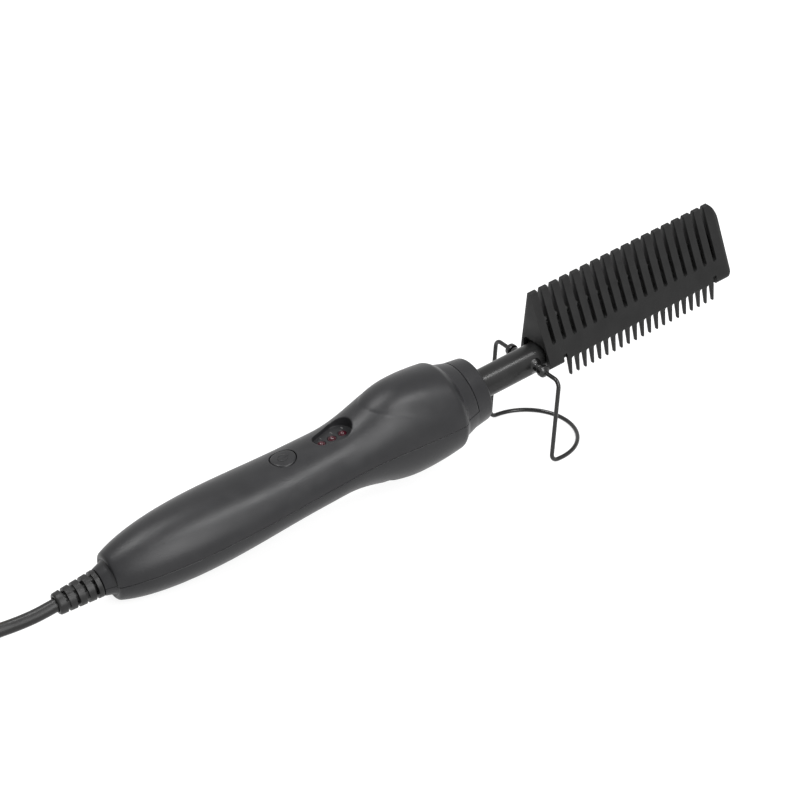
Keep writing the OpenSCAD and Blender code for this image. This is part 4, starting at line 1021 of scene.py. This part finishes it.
for number in (1, 2, 3):
    dressed(lamp(number), f"lamp_lens_{number}", f"lamp_{number}")
for number in (1, 2, 3):
    dressed(mark(number), f"lamp_mark_{number}", finish="panel_print")

# ---- barrel and comb head ----

def barrel():
    """The barrel, drilled for the screws that hold the head."""
    bore = BARREL_R - BARREL_WALL
    tube = turned(rounded([(-BARREL_TAIL, bore), (-BARREL_TAIL, BARREL_R), (BARREL_END, BARREL_R),
                           (BARREL_END, bore)], [0, 0.2, 0.2, 0]), steps=96, looped=True)
    return cut(tube, *[rod("z", -BARREL_R - CUT, BARREL_R + CUT, HEAD_SCREW_R + FIT, at, 32)
                       for at in HEAD_SCREWS])


dressed(barrel(), "barrel", "barrel_tube")

# rounding of the head's far end at its sides and below; the end face is drawn in by this share of it
END_ROUND, END_DRAWN = 2.2, 0.85
SLOT_EDGE, TIP_ROUND, TIP_DRAWN = 0.4, 0.4, 0.5     # the wide teeth's edges, and the wedge's narrow top
HOLLOW_UP, HOLLOW_DOWN = 2, 13       # the hollow's floor over the slots' floor, its top under the head's
HOLLOW_BACK, HOLLOW_FRONT = 0.6, 3   # how far it goes behind the first slot, and stays off the far end
SADDLE_ROOM = 1.5                    # from the barrel's end to the end of its seat
FINE_INSET, TONGUE_SUNK = 0.1, 0.3   # the fine teeth inside the wedge's side, the tongue in their bar


def wedge_half(z):
    """Half the head's thickness at height z."""
    lean = (HEAD_WIDTH / 2 - TIP_THICKNESS / 2) / (HEAD_TOP + HEAD_DROP)
    return TIP_THICKNESS / 2 + (HEAD_TOP - z) * lean


def wedge_outline(inset):
    """The head's section, drawn in by this much at its sides and below."""
    foot, top = wedge_half(-HEAD_DROP) - inset, TIP_THICKNESS / 2 - min(inset, TIP_DRAWN)
    low = -HEAD_DROP + inset
    corners = [(-top, HEAD_TOP), (top, HEAD_TOP), (foot, low), (-foot, low)]
    return rounded(corners, [TIP_ROUND, TIP_ROUND, EDGE_ROUND, EDGE_ROUND], steps=8)


def wedge():
    """The whole head before its slots, with its far end rounded."""
    rings = [(BARREL_SHOWING, 0)]
    rings += [(HEAD_END - END_ROUND * (1 - sin(radians(a))), END_ROUND * (1 - cos(radians(a))))
              for a in (0, 15, 30, 45, 60, 75)]
    rings.append((HEAD_END, END_ROUND * END_DRAWN))
    return loft([[(x, y, z) for y, z in wedge_outline(inset)] for x, inset in rings])


def side_outline():
    """The head from the side, with its round crown at the far end."""
    back, low = BARREL_SHOWING - CUT, -HEAD_DROP - CUT
    shoulder = HEAD_TOP - CROWN_START
    crown = arc(HEAD_END - CROWN_RADIUS, shoulder, CROWN_RADIUS, 0, asin(CROWN_START / CROWN_RADIUS), 25)
    return [(back, low), (HEAD_END, low)] + crown + [(back, HEAD_TOP)]


# the head's hollow, the row of fine teeth, and its outer and inner face
hollow_low, hollow_top = SLOT_FLOOR + HOLLOW_UP, HEAD_TOP - HOLLOW_DOWN
row_back, row_front = BARREL_SHOWING + FOOT_NEAR, HEAD_END - FOOT_FAR
row_middle = (row_back + row_front) / 2
row_half = (FINE_COUNT - 1) * FINE_PITCH / 2 + FINE_ROOT / 2
fine_outer = wedge_half(FINE_SEAT) - FINE_INSET
fine_plane = fine_outer - FINE_THICKNESS


def slot(i):
    """A slot between two wide teeth, with a round floor."""
    x = FIRST_SLOT + i * SLOT_PITCH
    r, low = SLOT_WIDTH / 2, SLOT_FLOOR + SLOT_WIDTH / 2
    outline = arc(x, low, r, -pi, 0, 13) + [(x + r, HEAD_TOP + 2), (x - r, HEAD_TOP + 2)]
    return prism(outline, "y", -HEAD_WIDTH, HEAD_WIDTH)


def groove(s, x0, x1, y0, y1, top):
    """A groove in the head's foot, open below, on the far (1) or near (-1) side."""
    low, high = sorted((s * y0, s * y1))
    return block((x0, low, -HEAD_DROP - CUT), (x1, high, top))


def comb_head():
    """The head with its slots, its hollow and the seats of barrel, fine combs and screws."""
    head = common(wedge(), prism(side_outline(), "y", -2 * HEAD_WIDTH, 2 * HEAD_WIDTH), solver="EXACT")
    head = cut(head, together(*[slot(i) for i in range(SLOT_COUNT)]), solver="EXACT")
    head = bevelled(head, SLOT_EDGE, 3, 35)
    wide, narrow = wedge_half(hollow_low) - HEAD_WALL, wedge_half(hollow_top) - HEAD_WALL
    core = [(-wide, hollow_low), (wide, hollow_low), (narrow, hollow_top), (-narrow, hollow_top)]
    tools = [prism(core, "x", BARREL_SHOWING + HEAD_FIRST_BLOCK - HOLLOW_BACK, HEAD_END - HOLLOW_FRONT)]
    # saddle over the barrel, open below, and the wider mouth round it
    seat, back, low = BARREL_R + FIT, BARREL_SHOWING - CUT, -HEAD_DROP - CUT
    saddle = arc(0, 0, seat, 0, pi, 33) + [(-seat, low), (seat, low)]
    tools.append(prism(saddle, "x", back, BARREL_END + SADDLE_ROOM))
    mouth = rounded(rectangle(-MOUTH_HALF, low, MOUTH_HALF, MOUTH_TOP), [0, 0, MOUTH_ROUND, MOUTH_ROUND], 8)
    tools.append(prism(mouth, "x", back, BARREL_SHOWING + MOUTH_DEPTH))
    # gap between the feet, and the grooves and notches of the two fine combs
    tools.append(block((row_back, -HEAD_WIDTH, low), (row_front, HEAD_WIDTH, FINE_SEAT)))
    for s in (-1, 1):
        tools.append(groove(s, row_middle - row_half - FIT, row_middle + row_half + FIT, fine_plane - FIT,
                            fine_plane + TONGUE_THICKNESS + FIT, FINE_SEAT + FINE_BAR + FIT))
        tools.append(groove(s, row_back, row_middle - row_half, fine_plane, HEAD_WIDTH, NOTCH_HEIGHT))
        tools.append(groove(s, row_middle + row_half, row_front, fine_plane, HEAD_WIDTH, NOTCH_HEIGHT))
    tools += [rod("z", 0, SLOT_FLOOR + HEAD_SCREW_REACH + BORE_BEYOND, HEAD_SCREW_R + FIT, at, 32)
              for at in HEAD_SCREWS]
    return cut(head, *tools, solver="EXACT")


dressed(comb_head(), "head", "comb_head", sharp=30)

TOOTH_TIP, TOOTH_EDGE = 0.5, 0.22     # depth of a tooth's rounded tip, and the rounding of its edges
TIP_FROM = 0.4                        # angle at which the tip's curve starts and ends, in radians


def fine_comb(side):
    """A row of fine teeth under its bar, with the tongue that holds it in the head's groove."""
    root = FINE_SEAT - FINE_WEB
    gap_r = (FINE_PITCH - FINE_ROOT) / 2
    low, tip, half = root - gap_r, root - FINE_LENGTH + TOOTH_TIP, FINE_TIP / 2
    outline = [(row_middle - row_half, FINE_SEAT), (row_middle + row_half, FINE_SEAT)]
    for i in reversed(range(FINE_COUNT)):
        x = row_middle + (i - (FINE_COUNT - 1) / 2) * FINE_PITCH
        outline += [(x + FINE_ROOT / 2, low), (x + half, tip)]
        outline += [(x + half * cos(a), tip - TOOTH_TIP * sin(a))
                    for a in np.linspace(TIP_FROM, pi - TIP_FROM, 5)]
        outline += [(x - half, tip), (x - FINE_ROOT / 2, low)]
        if i:
            outline += arc(x - FINE_PITCH / 2, low, gap_r, 0, pi, 9)[1:-1]
    teeth = prism(outline, "y", *sorted((side * fine_plane, side * fine_outer)))
    back, front = sorted((side * fine_plane, side * (fine_plane + TONGUE_THICKNESS)))
    tongue = block((row_middle - row_half, back, FINE_SEAT - TONGUE_SUNK),
                   (row_middle + row_half, front, FINE_SEAT + FINE_BAR))
    return fused(bevelled(teeth, TOOTH_EDGE, 2, 50), tongue, solver="EXACT")


for side, name in ((-1, "near"), (1, "far")):
    dressed(fine_comb(side), f"teeth_{name}", f"fine_comb_{name}")

# ---- screws ----

# half a screw slot's width, and its half length and depth in shares of the head's radius and height
DRIVE_HALF, DRIVE_LONG, DRIVE_DEEP = 0.3, 0.62, 0.55
# rounding of a screw's end, as a share of its radius, and of its head at the seat and round the drive
POINT_ROUND, SEAT_ROUND, DRIVE_ROUND = 0.4, 0.15, 0.45


def screw(at, r, top, seat, head_r, head, drives):
    """A screw from below: its shank goes up from seat to top, its head hangs under the seat and
    has one or two drive slots."""
    low = seat - head
    profile = [(top, AXIS_R), (top, r), (seat, r), (seat, head_r), (low, head_r), (low, AXIS_R)]
    rounds = [0, POINT_ROUND * r, 0, SEAT_ROUND, DRIVE_ROUND, 0]
    body = turned(rounded(profile, rounds, closed=False), "z", at, 40)
    tools = []
    bottom, top = low - CUT, low + DRIVE_DEEP * head
    for x, y in ((DRIVE_LONG * head_r, DRIVE_HALF), (DRIVE_HALF, DRIVE_LONG * head_r))[:drives]:
        tools.append(block((at[0] - x, at[1] - y, bottom), (at[0] + x, at[1] + y, top)))
    return cut(body, *tools)


case_screws = [screw(at, SCREW_R, SCREW_REACH, -HEAD_SEAT, SCREW_HEAD_R, SCREW_HEAD, 2) for at in BOSSES]
dressed(together(*case_screws), "case_screws", "shell_screws")
head_screws = [screw(at, HEAD_SCREW_R, SLOT_FLOOR + HEAD_SCREW_REACH, -BARREL_R, HEAD_SCREW_CAP_R,
                     HEAD_SCREW_CAP, 1) for at in HEAD_SCREWS]
dressed(together(*head_screws), "head_fixings", "head_screws", finish="blackened_steel")

# ---- stand ----

def stand_route():
    """The wire's middle, from one pin down its leg, round the foot and up to the other pin."""
    level = np.array([cos(TILT), 0, -sin(TILT)])
    lean = radians(LEG_LEAN)
    heel = np.array([PIVOT_AT - LEG_LENGTH * sin(lean), 0, -LEG_LENGTH * cos(lean)])
    side = np.array([0, LEG_Y, 0])
    toe = heel + FOOT_STRAIGHT * level
    corners = [(PIVOT_AT, PIN_IN, 0), (PIVOT_AT, LEG_Y, 0), heel + side, toe + side]
    route = rounded(corners, [0, WIRE_BEND, WIRE_BEND, 0], 10, closed=False)[:-1]
    route += [toe + LEG_Y * sin(a) * level + side * cos(a) for a in np.linspace(0, pi / 2, 41)]
    return route + [(x, -y, z) for x, y, z in reversed(route[:-1])]


dressed(sweep(stand_route(), WIRE_R, 20), "stand", "stand_wire", finish="wire_steel", body="stand")


# collar: its straight length, and how far its end is drawn in along and aside, with its roundings
COLLAR_LONG, COLLAR_END, COLLAR_NARROW, COLLAR_ROUNDS = 2.2, 0.4, 0.9, [0, 0.55, 0.7, 0.3, 0]
# lug: its root in the barrel, where its flare starts and ends, and its radius there against LUG_R
LUG_ROOT, LUG_FLARE, LUG_FLARED, LUG_WIDE, LUG_SLIM = 3, 5.4, 6.9, 0.9, 0.5
LUG_ROUNDS = [0, 0.5, 1.5, 0.5, 0]
LUG_REACH, LUG_BITE = 8, 0.02        # half the length of the cut for the barrel, and the lug's bite in it


def ferrule():
    """The collar that closes the wire's end beside its lug."""
    a, b = LUG_OUT + GAP, FERRULE_OUT
    profile = [(a, WIRE_R), (a, LUG_R), (a + COLLAR_LONG, LUG_R), (b - COLLAR_END, LUG_R - COLLAR_NARROW),
               (b, WIRE_R)]
    return turned(rounded(profile, COLLAR_ROUNDS), "y", (PIVOT_AT, 0, 0), 48, looped=True)


def lug():
    """A pivot lug that flares into the barrel, bored for the stand's pin."""
    wide, slim = LUG_R + LUG_WIDE, LUG_R - LUG_SLIM
    profile = [(LUG_ROOT, wide), (LUG_FLARE, wide), (LUG_FLARED, slim), (LUG_OUT, slim), (LUG_OUT, AXIS_R)]
    profile = [(LUG_ROOT, AXIS_R)] + rounded(profile, LUG_ROUNDS, closed=False)
    solid = turned(profile, "y", (PIVOT_AT, 0, 0), 48)
    return cut(solid, rod("y", PIN_IN - GAP, LUG_OUT + CUT, WIRE_R + FIT, (PIVOT_AT, 0, 0), 32),
               rod("x", PIVOT_AT - LUG_REACH, PIVOT_AT + LUG_REACH, BARREL_R - LUG_BITE, steps=96))


for make, name, replaced, body in ((ferrule, "ferrules", "stand_ferrules", "stand"),
                                   (lug, "lugs", "pivot_lugs", "handle")):
    far = make()
    dressed(together(mirrored(far), far), name, replaced, finish="wire_steel", body=body)

# ---- strain relief ----

BOOT_GROOVES, BOOT_FIRST, BOOT_TAPER, BOOT_EDGE = 4, 2, 0.1, 0.16
# gap to the neck, how much deeper the slots go than the small radius, roundings, a reach beyond it all
BOOT_GAP, BOOT_DEEP, BOOT_ROUNDS, BOOT_REACH = 0.25, 0.2, [0.3, 0.9, 0.35, 0, 0.2, 0], 9


def strain_relief():
    """A tapered boot with slots on alternate sides, and the sleeve that turns in the neck."""
    near, far, stop = -HANDLE_LENGTH - NECK_LENGTH - BOOT_GAP, -TAIL_REACH, COLLAR_X + COLLAR_THICKNESS
    outer = rounded([(far, CORD_R + GAP), (far, BOOT_SMALL_R), (near, BOOT_R), (near, SWIVEL_R),
                     (stop, SWIVEL_R), (stop, CORD_R + GAP)], BOOT_ROUNDS)
    boot = turned(outer, steps=72, looped=True)
    for i in range(BOOT_GROOVES):
        x = near - BOOT_FIRST - i * RIB_PITCH
        core = BOOT_SMALL_R - BOOT_TAPER * i - BOOT_DEEP
        tools = [turned(rectangle(x - GROOVE, core, x, BOOT_REACH), steps=72, looped=True)]
        for s in (-1, 1):
            through, aside = (-BOOT_REACH, BOOT_REACH), sorted((s * WEB_HALF, s * BOOT_REACH))
            y, z = (through, aside) if i % 2 else (aside, through)
            tools.append(block((x - GROOVE, y[0], z[0]), (x, y[1], z[1])))
        boot = cut(boot, *tools)
    return bevelled(boot, BOOT_EDGE, 2, 50)


dressed(strain_relief(), "boot", "strain_relief", body="swivel")

# ---- CAD nodes that stay ----

for name, ob in frame["nodes"].items():
    shaded(ob, finishes["dark_ceramic" if name == "barrel_end_cap" else node_slot[name]], 30)

# ---- floor, background and lamps ----

FLOOR_PALE, FLOOR_SHADE, FLOOR_GLOW, FLOOR_HALF = 0.8, 0.3, 0.84, 4
AMBIENT, AIM = 0.45, (0, 0, 0.03)


def larger(tree, a, b):
    """The larger of two values."""
    made = node(tree, "Math", a, b)
    made.operation = "MAXIMUM"
    return made.outputs[0]


def seen_directly(tree):
    """1 for rays that come from the camera or off glossy and clear surfaces."""
    path = node(tree, "LightPath").outputs
    first = larger(tree, path["Is Camera Ray"], path["Is Glossy Ray"])
    return larger(tree, first, path["Is Transmission Ray"])


def floor_material():
    """Plain for the light that the comb gets, nearly white where it is seen."""
    mat = bpy.data.materials.new("floor")
    mat.use_nodes = True
    tree = mat.node_tree
    tree.nodes.remove(tree.nodes["Principled BSDF"])
    plain = node(tree, "BsdfDiffuse", Color=rgba(FLOOR_PALE)).outputs[0]
    shadowed = node(tree, "BsdfDiffuse", Color=rgba(FLOOR_SHADE)).outputs[0]
    glow = node(tree, "Emission", Strength=FLOOR_GLOW).outputs[0]
    bright = node(tree, "AddShader", shadowed, glow).outputs[0]
    pick = node(tree, "MixShader", seen_directly(tree), plain, bright)
    tree.links.new(pick.outputs[0], tree.nodes["Material Output"].inputs["Surface"])
    return mat


floor = shape([(x, y, 0) for x, y in rectangle(-FLOOR_HALF, -FLOOR_HALF, FLOOR_HALF, FLOOR_HALF)],
              [(0, 1, 2, 3)])
floor.name = "floor"
floor.data.materials.append(floor_material())

world = bpy.data.worlds.new("world")
world.use_nodes = True
bpy.context.scene.world = world
sky = world.node_tree
ambient = sky.nodes["Background"]
ambient.inputs["Color"].default_value = rgba(1)
ambient.inputs["Strength"].default_value = AMBIENT
backdrop = node(sky, "Background", Color=rgba(1), Strength=1)
choose = node(sky, "MixShader", seen_directly(sky), ambient.outputs[0], backdrop.outputs[0])
sky.links.new(choose.outputs[0], sky.nodes["World Output"].inputs["Surface"])


def softbox(name, at, width, height, power):
    """A rectangular lamp that faces AIM."""
    light = bpy.data.lights.new(name, "AREA")
    light.shape = "RECTANGLE"
    light.size, light.size_y, light.energy = width, height, power
    ob = linked(name, light)
    ob.location = at
    ob.rotation_euler = (Vector(AIM) - Vector(at)).to_track_quat("-Z", "Y").to_euler()


softbox("key", (0.15, -0.42, 0.95), 0.5, 0.14, 6)
softbox("back", (-0.28, 0.24, 0.97), 0.5, 0.2, 5.5)
softbox("front", (-0.12, -0.87, 0.52), 0.35, 0.8, 8)
bpy.context.scene.view_settings.view_transform = "Standard"

bpy.context.view_layer.update()
